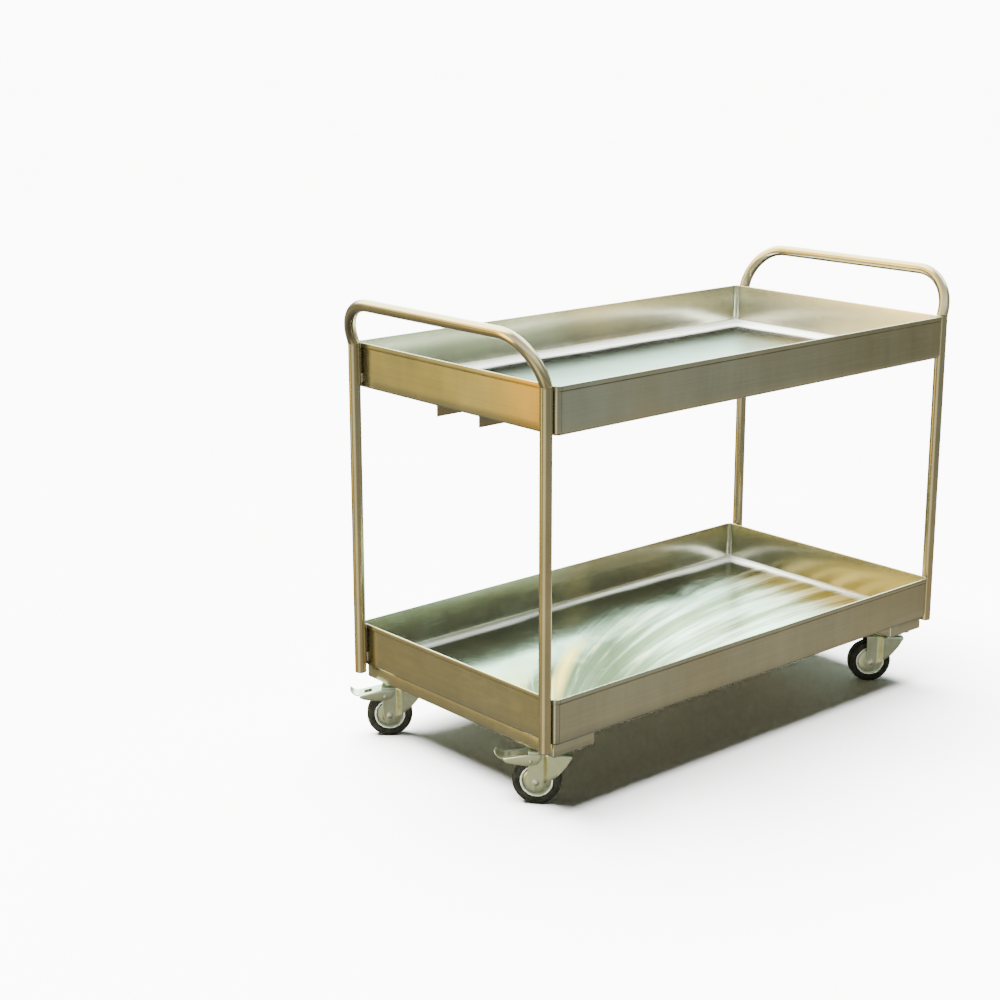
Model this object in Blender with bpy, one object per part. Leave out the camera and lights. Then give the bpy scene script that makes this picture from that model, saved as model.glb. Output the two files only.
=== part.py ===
"""Food service trolley: two deep sheet-metal trays on four tube legs, with a bent tube
handle at each end and four swivel casters, two of them with a brake pedal.

Metres, +Z up. The origin is on the floor under the middle of the trays. X runs along the
length of the trolley and the front long side faces -Y. Everything above the casters is
symmetric about X = 0 and Y = 0.
"""

import math

import bmesh
import bpy
from mathutils import Matrix, Vector

# Clearance that touching pieces keep from each other.
GAP = 0.0003

# Trays, measured over the folded rims.
TRAY_LENGTH = 1.200
TRAY_WIDTH = 0.634
TRAY_DEPTH = 0.0965
TRAY_SHEET = 0.0012
TRAY_CORNER_R = 0.014
UPPER_RIM_Z = 0.882
LOWER_RIM_Z = 0.257
HEM_HEIGHT = 0.010
HEM_OUT = 0.002
HEM_CREST = 0.0012
FLOOR_BEND_R = 0.006

# Legs and handles, one size of tube.
TUBE_R = 0.0125
TUBE_WALL = 0.0012
LEG_X = TRAY_LENGTH / 2 + TUBE_R + GAP
LEG_Y = 0.301
LEG_BOTTOM_Z = 0.150
HANDLE_LEAN = math.radians(20.5)
HANDLE_RISE = 0.100
HANDLE_BEND_R = 0.096
CAP_FLANGE = 0.002
CAP_STEM = 0.012

# Folded pans under the lower tray, which carry the casters.
PAN_LENGTH_X = 0.113
PAN_WIDTH_Y = 0.610
PAN_X = 0.5355
PAN_BOTTOM_Z = 0.131
PAN_SHEET = 0.002
PAN_BEND_R = 0.004
PAN_CORNER_R = 0.006

# Stiffening channels under both trays.
CHANNEL_WIDTH = 0.134
CHANNEL_DEPTH = 0.028
CHANNEL_SHEET = 0.0015
UPPER_CHANNEL_HALF = 0.579
CHANNEL_TO_PAN = 0.002

# Casters.
CASTER_X = 0.534
CASTER_Y = 0.244
WHEEL_R = 0.050
AXLE_Z = WHEEL_R
TRAIL = 0.035
PLATE_X = 0.085
PLATE_Y = 0.105
PLATE_THICK = 0.0025
PLATE_HOLE_X = 0.060
PLATE_HOLE_Y = 0.080
PLATE_HOLE_R = 0.0045
KINGPIN_R = 0.006
KINGPIN_HEAD_R = 0.009
KINGPIN_LOW_Z = 0.106
KINGPIN_CHAMFER = 0.002
CROWN_Z = 0.117
RACE_R = 0.032
RACE_GAP = 0.0006
CROWN_BEND_R = 0.004
FORK_SHEET = 0.003
FORK_REAR_HALF = 0.0205
FORK_FRONT_HALF = 0.031
FORK_STEP_X = (0.014, 0.026)
FORK_LOBE_R = 0.0145
FORK_LOBE_R_BRAKED = 0.0175
FORK_REAR_X = -0.011
FORK_REAR_X_BRAKED = -0.016
AXLE_R = 0.004
SLEEVE_R = 0.006
HUB_HALF = 0.0165
NUT_R = 0.0075
NUT_HEIGHT = 0.0065
RUNNING_GAP = 0.0004

# Lower front edge of a fork cheek, placed from the wheel's axle: X forward, Z up.
FORK_FRONT_EDGE = (
    (0.012, -0.004), (0.026, 0.0065), (0.045, 0.020), (0.062, 0.040), (0.074, 0.060),
)

# One side of the wheel's section: radius, and distance from the wheel's middle plane.
WHEEL_SECTION = (
    (SLEEVE_R + RUNNING_GAP, HUB_HALF), (0.011, HUB_HALF), (0.017, 0.0130), (0.026, 0.0105),
    (0.029, 0.0085), (0.0310, 0.0132), (0.0335, 0.0125), (0.0335, 0.0107), (0.0300, 0.0107),
)
TYRE_SECTION = (
    (0.0303, 0.0104), (0.0340, 0.0104), (0.0345, 0.0130), (0.0420, 0.0150), (0.0480, 0.0135),
    (WHEEL_R, 0.0080),
)

# Brake pedal, placed from the wheel's axle: X forward, Z up.
PIVOT_X = -0.010
PIVOT_Z = 0.045
PEDAL_SHEET = 0.002
PEDAL_HALF = FORK_REAR_HALF + RUNNING_GAP + PEDAL_SHEET
PEDAL_BEND_R = 0.003
PEDAL_FRONT = (0.012, 0.062)
PEDAL_MOUTH = (-0.0175, 0.0585)
PEDAL_HEEL = (-0.066, 0.0480)
TOE_CURL_R = 0.022
TOE_CURL = math.radians(66)
WINDOW_X = (-0.056, -0.039)
WINDOW_HALF = 0.009
RIVET_R = 0.0025
RIVET_HEAD_R = 0.004
RIVET_HEAD = 0.0013
SHOE_X = (-0.035, -0.020)
SHOE_HALF = 0.010
SHOE_TO_TYRE = 0.0028

# Lower edge of the pedal's side walls, from the heel to the front, placed from the axle.
PEDAL_LOWER_EDGE = (
    (PEDAL_HEEL[0], 0.0425), (WINDOW_X[0], 0.0385), (WINDOW_X[1], 0.0362), (-0.026, 0.0355),
    (PEDAL_MOUTH[0], 0.0350), (-0.006, 0.0370), (0.005, 0.0420), (PEDAL_FRONT[0], 0.0520),
)

# Each corner: side along X, side along Y, swivel angle about Z, and whether it brakes.
CORNERS = {
    "front_left": (-1, -1, math.radians(-49), True),
    "rear_left": (-1, 1, math.radians(-37), True),
    "front_right": (1, -1, math.radians(-37), False),
    "rear_right": (1, 1, math.radians(-43), False),
}

ROUND_TUBE = 16
ROUND_TYRE = 28
ROUND_HUB = 20
ROUND_SMALL = 12
ROUND_HOLE = 10
DRILL_SHORT = 0.02
DRILL_LONG = 0.06


# ---------------------------------------------------------------- materials

def material(name, colour, roughness, metallic):
    """One Principled material, made once and shared by the pieces that use it."""
    found = bpy.data.materials.get(name)
    if found:
        return found
    made = bpy.data.materials.new(name)
    made.use_nodes = True
    shader = made.node_tree.nodes["Principled BSDF"]
    shader.inputs["Base Color"].default_value = (*colour, 1.0)
    shader.inputs["Roughness"].default_value = roughness
    shader.inputs["Metallic"].default_value = metallic
    made.diffuse_color = (*colour, 1.0)
    return made


def stainless():
    return material("brushed_stainless", (0.62, 0.60, 0.54), 0.32, 1.0)


def tube_steel():
    return material("satin_tube", (0.66, 0.62, 0.53), 0.28, 1.0)


def zinc():
    return material("zinc_plate", (0.56, 0.57, 0.50), 0.38, 1.0)


def bolt_steel():
    return material("bolt_steel", (0.60, 0.60, 0.57), 0.30, 1.0)


def rubber():
    return material("tyre_rubber", (0.045, 0.045, 0.030), 0.75, 0.0)


def cap_plastic():
    return material("cap_plastic", (0.10, 0.10, 0.10), 0.55, 0.0)


# ---------------------------------------------------------------- making objects

def place(name, mesh_builder, look, parent=None, sharp_angle=35):
    """Turns a bmesh into an object with its own material, shaded smooth but for sharp edges."""
    mesh = bpy.data.meshes.new(name)
    mesh_builder.to_mesh(mesh)
    mesh_builder.free()
    mesh.shade_smooth()
    mesh.set_sharp_from_angle(angle=math.radians(sharp_angle))
    mesh.materials.append(look)
    piece = bpy.data.objects.new(name, mesh)
    bpy.context.scene.collection.objects.link(piece)
    piece.parent = parent
    return piece


def empty(name, location, turn=0.0, parent=None):
    """An axis marker that moving pieces are parented to."""
    marker = bpy.data.objects.new(name, None)
    marker.empty_display_size = 0.02
    marker.location = location
    marker.rotation_euler = (0.0, 0.0, turn)
    marker.parent = parent
    bpy.context.scene.collection.objects.link(marker)
    return marker


def close_and_face_out(bm):
    bmesh.ops.remove_doubles(bm, verts=bm.verts, dist=1e-6)
    bmesh.ops.recalc_face_normals(bm, faces=bm.faces)
    return bm


def bridge(bm, first, second):
    """Quads between two rings of vertices of the same length."""
    for i in range(len(first)):
        j = (i + 1) % len(first)
        bm.faces.new((first[i], first[j], second[j], second[i]))


def sheet(rows, metal=None):
    """An open pressed sheet between rows of vertices, facing out where the rows run along X.

    `metal(row, column)` says which of its quads are there; without it, all are.
    """
    bm = bmesh.new()
    grid = [[bm.verts.new(point) for point in row] for row in rows]
    for i, (first, second) in enumerate(zip(grid, grid[1:])):
        for j in range(len(first) - 1):
            if metal is None or metal(i, j):
                bm.faces.new((first[j], second[j], second[j + 1], first[j + 1]))
    loose = [v for v in bm.verts if not v.link_faces]
    bmesh.ops.delete(bm, geom=loose, context="VERTS")
    return bm


def turned(profile, segments, ring):
    """Spins a profile of (radius, height) pairs about Z. A ring's profile is a closed loop."""
    bm = bmesh.new()
    verts = [bm.verts.new((r, 0.0, z)) for r, z in profile]
    pairs = zip(verts, verts[1:] + verts[:1]) if ring else zip(verts, verts[1:])
    edges = [bm.edges.new(pair) for pair in pairs]
    bmesh.ops.spin(bm, geom=verts + edges, cent=(0, 0, 0), axis=(0, 0, 1),
                   angle=math.tau, steps=segments, use_merge=True)
    return close_and_face_out(bm)


def along_y(bm):
    """Lays a piece turned about Z down along Y, its +Z end towards +Y."""
    bmesh.ops.rotate(bm, verts=bm.verts, matrix=Matrix.Rotation(-math.pi / 2, 3, "X"))
    return bm


def slide(bm, offset):
    bmesh.ops.translate(bm, verts=bm.verts, vec=offset)
    return bm


def box(size, centre):
    bm = bmesh.new()
    bmesh.ops.create_cube(bm, size=1.0)
    bmesh.ops.scale(bm, verts=bm.verts, vec=size)
    return slide(bm, centre)


def cut(piece, cutter_builder, name):
    """Takes a cutter shape out of a piece. The cutter stays as a hidden wire guide."""
    mesh = bpy.data.meshes.new(name)
    cutter_builder.to_mesh(mesh)
    cutter_builder.free()
    cutter = bpy.data.objects.new(name, mesh)
    cutter.display_type = "WIRE"
    cutter.hide_render = True
    cutter.parent = piece.parent
    bpy.context.scene.collection.objects.link(cutter)
    boolean = piece.modifiers.new(name, "BOOLEAN")
    boolean.operation = "DIFFERENCE"
    boolean.solver = "EXACT"
    boolean.object = cutter


def thicken(piece, thickness):
    """Gives a sheet its thickness, inwards from the modelled outer surface."""
    solidify = piece.modifiers.new("sheet", "SOLIDIFY")
    solidify.thickness = thickness
    solidify.offset = -1.0
    solidify.use_even_offset = True


def hole_rod(radius, length):
    """A rod on Z, centred, for drilling."""
    half = length / 2
    return turned([(0, -half), (radius, -half), (radius, half), (0, half)], ROUND_HOLE, False)


# ---------------------------------------------------------------- trays and pans

def rounded_ring(bm, length, width, radius, z, corner_steps):
    """Vertices of a rectangle with rounded corners, anticlockwise from +X +Y."""
    ring = []
    for quarter in range(4):
        sx = 1 if quarter in (0, 3) else -1
        sy = 1 if quarter in (0, 1) else -1
        middle = Vector((sx * (length / 2 - radius), sy * (width / 2 - radius), z))
        for step in range(corner_steps + 1):
            angle = (quarter + step / corner_steps) * math.pi / 2
            arm = Vector((math.cos(angle), math.sin(angle), 0.0)) * radius
            ring.append(bm.verts.new(middle + arm))
    return ring


def folded_box(length, width, corner_r, rows, corner_steps):
    """An open-topped sheet box from (inset, height) rows, underside first, inside floor last."""
    bm = bmesh.new()
    rings = []
    for inset, z in rows:
        ring = rounded_ring(bm, length - 2 * inset, width - 2 * inset, corner_r - inset,
                            z, corner_steps)
        rings.append(ring)
    for lower, upper in zip(rings, rings[1:]):
        bridge(bm, lower, upper)
    bm.faces.new(rings[0])
    bm.faces.new(rings[-1])
    return close_and_face_out(bm)


def bend_rows(inset, z, radius, steps=2):
    """Rows of a quarter bend from a flat bottom at height z up to a wall at the inset."""
    rows = []
    for step in range(steps + 1):
        angle = step / steps * math.pi / 2
        rows.append((inset + radius * (1 - math.sin(angle)), z + radius * (1 - math.cos(angle))))
    return rows


def make_tray(name, rim_z):
    wall_in = HEM_OUT + TRAY_SHEET
    outside = bend_rows(HEM_OUT, 0.0, FLOOR_BEND_R)
    hem = [
        (HEM_OUT, TRAY_DEPTH - HEM_HEIGHT),
        (0.0, TRAY_DEPTH - HEM_HEIGHT),
        (0.0, TRAY_DEPTH - HEM_CREST),
        (wall_in / 2, TRAY_DEPTH),
        (wall_in, TRAY_DEPTH - HEM_CREST),
    ]
    inside = bend_rows(wall_in, TRAY_SHEET, FLOOR_BEND_R - TRAY_SHEET)[::-1]
    bm = folded_box(TRAY_LENGTH, TRAY_WIDTH, TRAY_CORNER_R, outside + hem + inside, 4)
    tray = place(name, bm, stainless())
    tray.location.z = rim_z - TRAY_DEPTH


def make_pan(name, side):
    height = LOWER_RIM_Z - TRAY_DEPTH - GAP - PAN_BOTTOM_Z
    outside = bend_rows(0.0, 0.0, PAN_BEND_R)
    top = [(0.0, height), (PAN_SHEET, height)]
    inside = bend_rows(PAN_SHEET, PAN_SHEET, PAN_BEND_R - PAN_SHEET, 1)[::-1]
    bm = folded_box(PAN_LENGTH_X, PAN_WIDTH_Y, PAN_CORNER_R, outside + top + inside, 2)
    pan = place(name, bm, stainless())
    pan.location = (side * PAN_X, 0.0, PAN_BOTTOM_Z)


def make_stiffener(name, half_length, tray_bottom_z):
    """A channel with its web against the tray and its flanges pointing down."""
    half = CHANNEL_WIDTH / 2
    t = CHANNEL_SHEET
    outline = [
        (-half, -CHANNEL_DEPTH), (-half, 0), (half, 0), (half, -CHANNEL_DEPTH),
        (half - t, -CHANNEL_DEPTH), (half - t, -t), (-half + t, -t), (-half + t, -CHANNEL_DEPTH),
    ]
    bm = bmesh.new()
    face = bm.faces.new([bm.verts.new((-half_length, y, z)) for y, z in outline])
    extruded = bmesh.ops.extrude_face_region(bm, geom=[face])["geom"]
    moved = [v for v in extruded if isinstance(v, bmesh.types.BMVert)]
    bmesh.ops.translate(bm, verts=moved, vec=(2 * half_length, 0, 0))
    channel = place(name, close_and_face_out(bm), stainless())
    channel.location.z = tray_bottom_z - GAP


# ---------------------------------------------------------------- legs and handles

def hollow_tube(path, flat, start_normal, end_normal):
    """A tube along (centre, tangent) pairs that lie in the plane with normal `flat`.

    Each end is cut on its own plane.
    """
    bm = bmesh.new()
    rings = []
    for index, (centre, tangent) in enumerate(path):
        normal = tangent
        if index == 0:
            normal = start_normal
        if index == len(path) - 1:
            normal = end_normal
        across = tangent.cross(flat)
        pair = []
        for radius in (TUBE_R, TUBE_R - TUBE_WALL):
            ring = []
            for step in range(ROUND_TUBE):
                angle = step / ROUND_TUBE * math.tau
                arm = (flat * math.cos(angle) + across * math.sin(angle)) * radius
                arm -= tangent * (arm.dot(normal) / tangent.dot(normal))
                ring.append(bm.verts.new(centre + arm))
            pair.append(ring)
        rings.append(pair)
    for first, second in zip(rings, rings[1:]):
        bridge(bm, first[0], second[0])
        bridge(bm, first[1], second[1])
    for outer, inner in (rings[0], rings[-1]):
        bridge(bm, outer, inner)
    return close_and_face_out(bm)


def lean_direction(end):
    """The handle's upward direction, leaning out over its end of the trolley."""
    return Vector((end * math.sin(HANDLE_LEAN), 0.0, math.cos(HANDLE_LEAN)))


def mitre_normal(end):
    """Normal of the plane where a leg and a handle meet, halfway between their axes."""
    return (lean_direction(end) + Vector((0, 0, 1))).normalized()


def make_leg(name, sx, sy):
    up = Vector((0, 0, 1))
    foot = Vector((sx * LEG_X, sy * LEG_Y, LEG_BOTTOM_Z))
    top = Vector((sx * LEG_X, sy * LEG_Y, UPPER_RIM_Z - GAP / 2))
    bm = hollow_tube([(foot, up), (top, up)], Vector((1, 0, 0)), up, mitre_normal(sx))
    place(name, bm, tube_steel())


def make_leg_cap(name, sx, sy):
    """Plug in the foot of a leg: a flange as wide as the tube and a stem inside it."""
    stem_r = TUBE_R - TUBE_WALL - GAP
    profile = [
        (0, -CAP_FLANGE), (TUBE_R - 0.001, -CAP_FLANGE), (TUBE_R, -CAP_FLANGE / 2),
        (TUBE_R, 0), (stem_r, 0), (stem_r, CAP_STEM), (0, CAP_STEM),
    ]
    cap = place(name, turned(profile, ROUND_SMALL, False), cap_plastic())
    cap.location = (sx * LEG_X, sy * LEG_Y, LEG_BOTTOM_Z - GAP)


def make_handle(name, end, bend_steps=6):
    """A hoop from leg to leg: up from the front leg, two wide bends, down to the rear leg."""
    up = lean_direction(end)
    across = Vector((0, 1, 0))
    base = Vector((end * LEG_X, 0, UPPER_RIM_Z)) + up * (GAP / 2)
    shoulder = HANDLE_RISE - HANDLE_BEND_R
    path = [(base - across * LEG_Y, up)]
    for side in (-1, 1):
        hub = base + up * shoulder + across * (side * (LEG_Y - HANDLE_BEND_R))
        for step in range(bend_steps + 1):
            turn = step / bend_steps * math.pi / 2
            angle = math.pi - turn if side < 0 else math.pi / 2 - turn
            arm = across * math.cos(angle) + up * math.sin(angle)
            tangent = across * math.sin(angle) - up * math.cos(angle)
            path.append((hub + arm * HANDLE_BEND_R, tangent))
    path.append((base + across * LEG_Y, -up))
    mitre = mitre_normal(end)
    place(name, hollow_tube(path, across.cross(up), mitre, mitre), tube_steel())


# ---------------------------------------------------------------- casters

def make_plate(name, station):
    """Top plate with four bolt holes and the kingpin's hole."""
    centre_z = PAN_BOTTOM_Z - GAP - PLATE_THICK / 2
    plate = place(name, box((PLATE_X, PLATE_Y, PLATE_THICK), (0, 0, centre_z)), zinc(), station)
    drill = hole_rod(KINGPIN_R + GAP, DRILL_SHORT)
    cut(plate, slide(drill, (0, 0, centre_z)), name + "_pin_hole")
    for sx in (-1, 1):
        for sy in (-1, 1):
            drill = hole_rod(PLATE_HOLE_R, DRILL_SHORT)
            spot = (sx * PLATE_HOLE_X / 2, sy * PLATE_HOLE_Y / 2, centre_z)
            cut(plate, slide(drill, spot), f"{name}_hole_{sx}_{sy}")


def make_swivel_race(name, station):
    """The dished ball race that hangs under the top plate."""
    low = CROWN_Z + RACE_GAP
    high = PAN_BOTTOM_Z - 2 * GAP - PLATE_THICK
    profile = [
        (KINGPIN_HEAD_R, low), (RACE_R - 0.002, low), (RACE_R, low + 0.002),
        (RACE_R, low + 0.0055), (RACE_R - 0.005, high), (KINGPIN_HEAD_R, high),
    ]
    place(name, turned(profile, ROUND_HUB, True), zinc(), station)


def make_kingpin(name, station):
    crown_under = CROWN_Z - FORK_SHEET - GAP
    top = PAN_BOTTOM_Z - 2 * GAP
    profile = [
        (0, KINGPIN_LOW_Z), (KINGPIN_HEAD_R - KINGPIN_CHAMFER, KINGPIN_LOW_Z),
        (KINGPIN_HEAD_R, KINGPIN_LOW_Z + KINGPIN_CHAMFER), (KINGPIN_HEAD_R, crown_under),
        (KINGPIN_R, crown_under), (KINGPIN_R, top), (0, top),
    ]
    place(name, turned(profile, ROUND_SMALL, False), bolt_steel(), station)


def fork_half_width(x):
    """Half width over the cheeks, with X from the axle: narrow at the wheel, wide at the head."""
    start, end = FORK_STEP_X
    share = min(max((x - start) / (end - start), 0.0), 1.0)
    return FORK_REAR_HALF + (FORK_FRONT_HALF - FORK_REAR_HALF) * share


def height_along(points, x):
    """Height at x on a line through (x, height) points, level beyond its last point."""
    for (x0, z0), (x1, z1) in zip(points, points[1:]):
        if x <= x1:
            return z0 + (z1 - z0) * (x - x0) / (x1 - x0)
    return points[-1][1]


def fork_bottom(x, lobe_r):
    """Height of a cheek's lower edge: a round lobe at the axle, then a rising front edge."""
    if x <= FORK_FRONT_EDGE[0][0]:
        return -math.sqrt(lobe_r ** 2 - x ** 2)
    return height_along(FORK_FRONT_EDGE, x)


def make_fork(name, swivel, brakes):
    """Pressed fork: a crown under the race and two cheeks folded down around the wheel."""
    lobe_r = FORK_LOBE_R_BRAKED if brakes else FORK_LOBE_R
    rear = FORK_REAR_X_BRAKED if brakes else FORK_REAR_X
    edge_x = [x for x, z in FORK_FRONT_EDGE]
    stations = sorted({rear, rear / 2, 0.0, edge_x[0] / 2, *edge_x, *FORK_STEP_X})
    crown = CROWN_Z - AXLE_Z
    soft = CROWN_BEND_R
    knee = soft * (1 - math.sqrt(0.5))
    rows = []
    for x in stations:
        half = fork_half_width(x)
        bottom = fork_bottom(x, lobe_r)
        side = [(half, bottom), (half, crown - soft), (half - knee, crown - knee),
                (half - soft, crown)]
        section = [(-y, z) for y, z in side] + side[::-1]
        rows.append([(x - TRAIL, y, z + AXLE_Z) for y, z in section])
    fork = place(name, sheet(rows), zinc(), swivel)
    thicken(fork, FORK_SHEET)
    drill = hole_rod(KINGPIN_R + RUNNING_GAP, DRILL_SHORT)
    cut(fork, slide(drill, (0, 0, CROWN_Z)), name + "_pin_hole")
    drill = along_y(hole_rod(AXLE_R + RUNNING_GAP, DRILL_LONG))
    cut(fork, slide(drill, (-TRAIL, 0, AXLE_Z)), name + "_axle_hole")
    if brakes:
        drill = along_y(hole_rod(RIVET_R + RUNNING_GAP, DRILL_LONG))
        cut(fork, slide(drill, (PIVOT_X - TRAIL, 0, PIVOT_Z + AXLE_Z)), name + "_rivet_holes")


def make_axle(corner, axle):
    """Axle bolt with its head on the outer side, the nut, and the sleeve the wheel turns on."""
    face = FORK_REAR_HALF + GAP
    head_end = face + 0.0055
    tip = face + NUT_HEIGHT + 0.002
    shank = [(0, -head_end), (NUT_R - 0.0008, -head_end), (NUT_R, -head_end + 0.0012),
             (NUT_R, -face), (AXLE_R, -face), (AXLE_R, tip - 0.0006), (AXLE_R - 0.0006, tip),
             (0, tip)]
    place(f"axle_bolt_{corner}", along_y(turned(shank, ROUND_HOLE, False)), bolt_steel(), axle)
    nut = [(AXLE_R + GAP, face), (NUT_R, face), (NUT_R, face + NUT_HEIGHT),
           (AXLE_R + GAP, face + NUT_HEIGHT)]
    place(f"axle_nut_{corner}", along_y(turned(nut, ROUND_HOLE, True)), bolt_steel(), axle)
    half = FORK_REAR_HALF - FORK_SHEET - RUNNING_GAP
    sleeve = [(AXLE_R + GAP, -half), (SLEEVE_R, -half), (SLEEVE_R, half), (AXLE_R + GAP, half)]
    place(f"axle_sleeve_{corner}", along_y(turned(sleeve, ROUND_HOLE, True)), bolt_steel(), axle)


def wheel_loop(section):
    """Closes a section given for one side of the wheel with its mirror image."""
    return [(r, -y) for r, y in section] + [(r, y) for r, y in reversed(section)]


def make_wheel(corner, axle):
    """Pressed wheel centre with a rolled outer rim, and the rubber tyre that sits in it."""
    centre = turned(wheel_loop(WHEEL_SECTION), ROUND_HUB, True)
    place(f"wheel_centre_{corner}", along_y(centre), zinc(), axle)
    tyre = turned(wheel_loop(TYRE_SECTION), ROUND_TYRE, True)
    place(f"tyre_{corner}", along_y(tyre), rubber(), axle)


# ---------------------------------------------------------------- brakes

def pedal_top(x):
    """Height of the pedal's top along its length, with X from the axle."""
    return height_along((PEDAL_HEEL, PEDAL_MOUTH, PEDAL_FRONT), x)


def make_pedal(corner, pivot):
    """Channel-shaped pedal: two side walls on the rivets, a top with a window, a curled toe."""
    web_half = PEDAL_HALF - PEDAL_BEND_R
    toe_steps = 5
    rows = []
    for step in range(toe_steps, 0, -1):
        angle = TOE_CURL * step / toe_steps
        x = PEDAL_HEEL[0] - TOE_CURL_R * math.sin(angle)
        z = PEDAL_HEEL[1] + TOE_CURL_R * (1 - math.cos(angle))
        half = web_half * math.sqrt(1 - 0.6 * (step / toe_steps) ** 2)
        rows.append([(x, y, z) for y in (-half, -half, -half, -half / 2, half / 2) + (half,) * 3])
    for x, bottom in PEDAL_LOWER_EDGE:
        top = pedal_top(x)
        fold = top - PEDAL_BEND_R
        left = [(x, -PEDAL_HALF, bottom), (x, -PEDAL_HALF, fold), (x, -web_half, top)]
        right = [(x, -y, z) for x, y, z in reversed(left)]
        rows.append(left + [(x, -WINDOW_HALF, top), (x, WINDOW_HALF, top)] + right)
    heel = toe_steps
    window = heel + 1
    mouth = heel + [x for x, bottom in PEDAL_LOWER_EDGE].index(PEDAL_MOUTH[0])

    def metal(row, column):
        if row < heel:
            return column in (2, 3, 4)
        if row >= mouth:
            return column in (0, 6)
        return not (row == window and column == 3)

    shifted = [[(x - PIVOT_X, y, z - PIVOT_Z) for x, y, z in row] for row in rows]
    name = f"brake_pedal_{corner}"
    pedal = place(name, sheet(shifted, metal), zinc(), pivot)
    thicken(pedal, PEDAL_SHEET)
    cut(pedal, along_y(hole_rod(RIVET_R + RUNNING_GAP, DRILL_LONG)), name + "_rivet_holes")


def make_shoe(corner, pivot):
    """Brake block under the pedal's top, hollowed to the tyre's curve."""
    back, front = SHOE_X
    reach = WHEEL_R + SHOE_TO_TYRE
    steps = 4
    xs = [back + (front - back) * step / steps for step in range(steps + 1)]
    under = [(x, math.sqrt(reach ** 2 - x ** 2)) for x in xs]
    rest = PEDAL_SHEET + 2 * GAP
    outline = under + [(front, pedal_top(front) - rest), (back, pedal_top(back) - rest)]
    bm = bmesh.new()
    face = bm.faces.new([bm.verts.new((x - PIVOT_X, -SHOE_HALF, z - PIVOT_Z)) for x, z in outline])
    extruded = bmesh.ops.extrude_face_region(bm, geom=[face])["geom"]
    moved = [v for v in extruded if isinstance(v, bmesh.types.BMVert)]
    bmesh.ops.translate(bm, verts=moved, vec=(0, 2 * SHOE_HALF, 0))
    place(f"brake_shoe_{corner}", close_and_face_out(bm), rubber(), pivot)


def make_rivets(corner, axle):
    """One rivet through each side wall of the pedal and the fork cheek behind it."""
    cheek_in = FORK_REAR_HALF - FORK_SHEET - GAP
    wall_out = PEDAL_HALF + GAP
    profile = [
        (0, cheek_in - RIVET_HEAD), (RIVET_HEAD_R, cheek_in - RIVET_HEAD),
        (RIVET_HEAD_R, cheek_in), (RIVET_R, cheek_in), (RIVET_R, wall_out),
        (RIVET_HEAD_R, wall_out), (RIVET_HEAD_R * 0.75, wall_out + RIVET_HEAD),
        (0, wall_out + RIVET_HEAD * 1.5),
    ]
    for side, label in ((-1, "outer"), (1, "inner")):
        mirrored = [(r, side * y) for r, y in profile]
        bm = slide(along_y(turned(mirrored, ROUND_HOLE, False)), (PIVOT_X, 0, PIVOT_Z))
        place(f"pedal_rivet_{label}_{corner}", bm, bolt_steel(), axle)


def make_brake(corner, axle):
    pivot = empty(f"pedal_pivot_{corner}", (PIVOT_X, 0.0, PIVOT_Z), parent=axle)
    make_pedal(corner, pivot)
    make_shoe(corner, pivot)
    make_rivets(corner, axle)


# ---------------------------------------------------------------- assembly

def make_caster(corner, sx, sy, turn, brakes):
    station = empty(f"caster_station_{corner}", (sx * CASTER_X, sy * CASTER_Y, 0.0))
    swivel = empty(f"swivel_axis_{corner}", (0.0, 0.0, 0.0), turn, station)
    axle = empty(f"wheel_axis_{corner}", (-TRAIL, 0.0, AXLE_Z), parent=swivel)
    make_plate(f"caster_plate_{corner}", station)
    make_swivel_race(f"swivel_race_{corner}", station)
    make_kingpin(f"kingpin_{corner}", station)
    make_fork(f"fork_{corner}", swivel, brakes)
    make_axle(corner, axle)
    make_wheel(corner, axle)
    if brakes:
        make_brake(corner, axle)


def clear_scene():
    for old in list(bpy.data.objects):
        bpy.data.objects.remove(old, do_unlink=True)


def main():
    clear_scene()
    lower_bottom_z = LOWER_RIM_Z - TRAY_DEPTH
    make_tray("upper_tray", UPPER_RIM_Z)
    make_tray("lower_tray", LOWER_RIM_Z)
    make_stiffener("upper_stiffener", UPPER_CHANNEL_HALF, UPPER_RIM_Z - TRAY_DEPTH)
    pan_inner_x = PAN_X - PAN_LENGTH_X / 2
    make_stiffener("lower_stiffener", pan_inner_x - CHANNEL_TO_PAN, lower_bottom_z)
    for end, label in ((-1, "left"), (1, "right")):
        make_handle(f"handle_{label}", end)
        make_pan(f"caster_pan_{label}", end)
    for corner, (sx, sy, turn, brakes) in CORNERS.items():
        make_leg(f"leg_{corner}", sx, sy)
        make_leg_cap(f"leg_cap_{corner}", sx, sy)
        make_caster(corner, sx, sy, turn, brakes)


main()
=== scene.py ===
"""Looks of the food service trolley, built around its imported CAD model.

Metres, +Z up, the row frame throughout: X along the trolley, the front long side faces -Y.
Every piece is built where it stands at rest, with its origin at the frame's origin, and then
rides on its body.
"""

from math import copysign, cos, pi, radians, sin, sqrt, tan, tau as TAU

import bmesh
import bpy
from mathutils import Matrix, Vector


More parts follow.
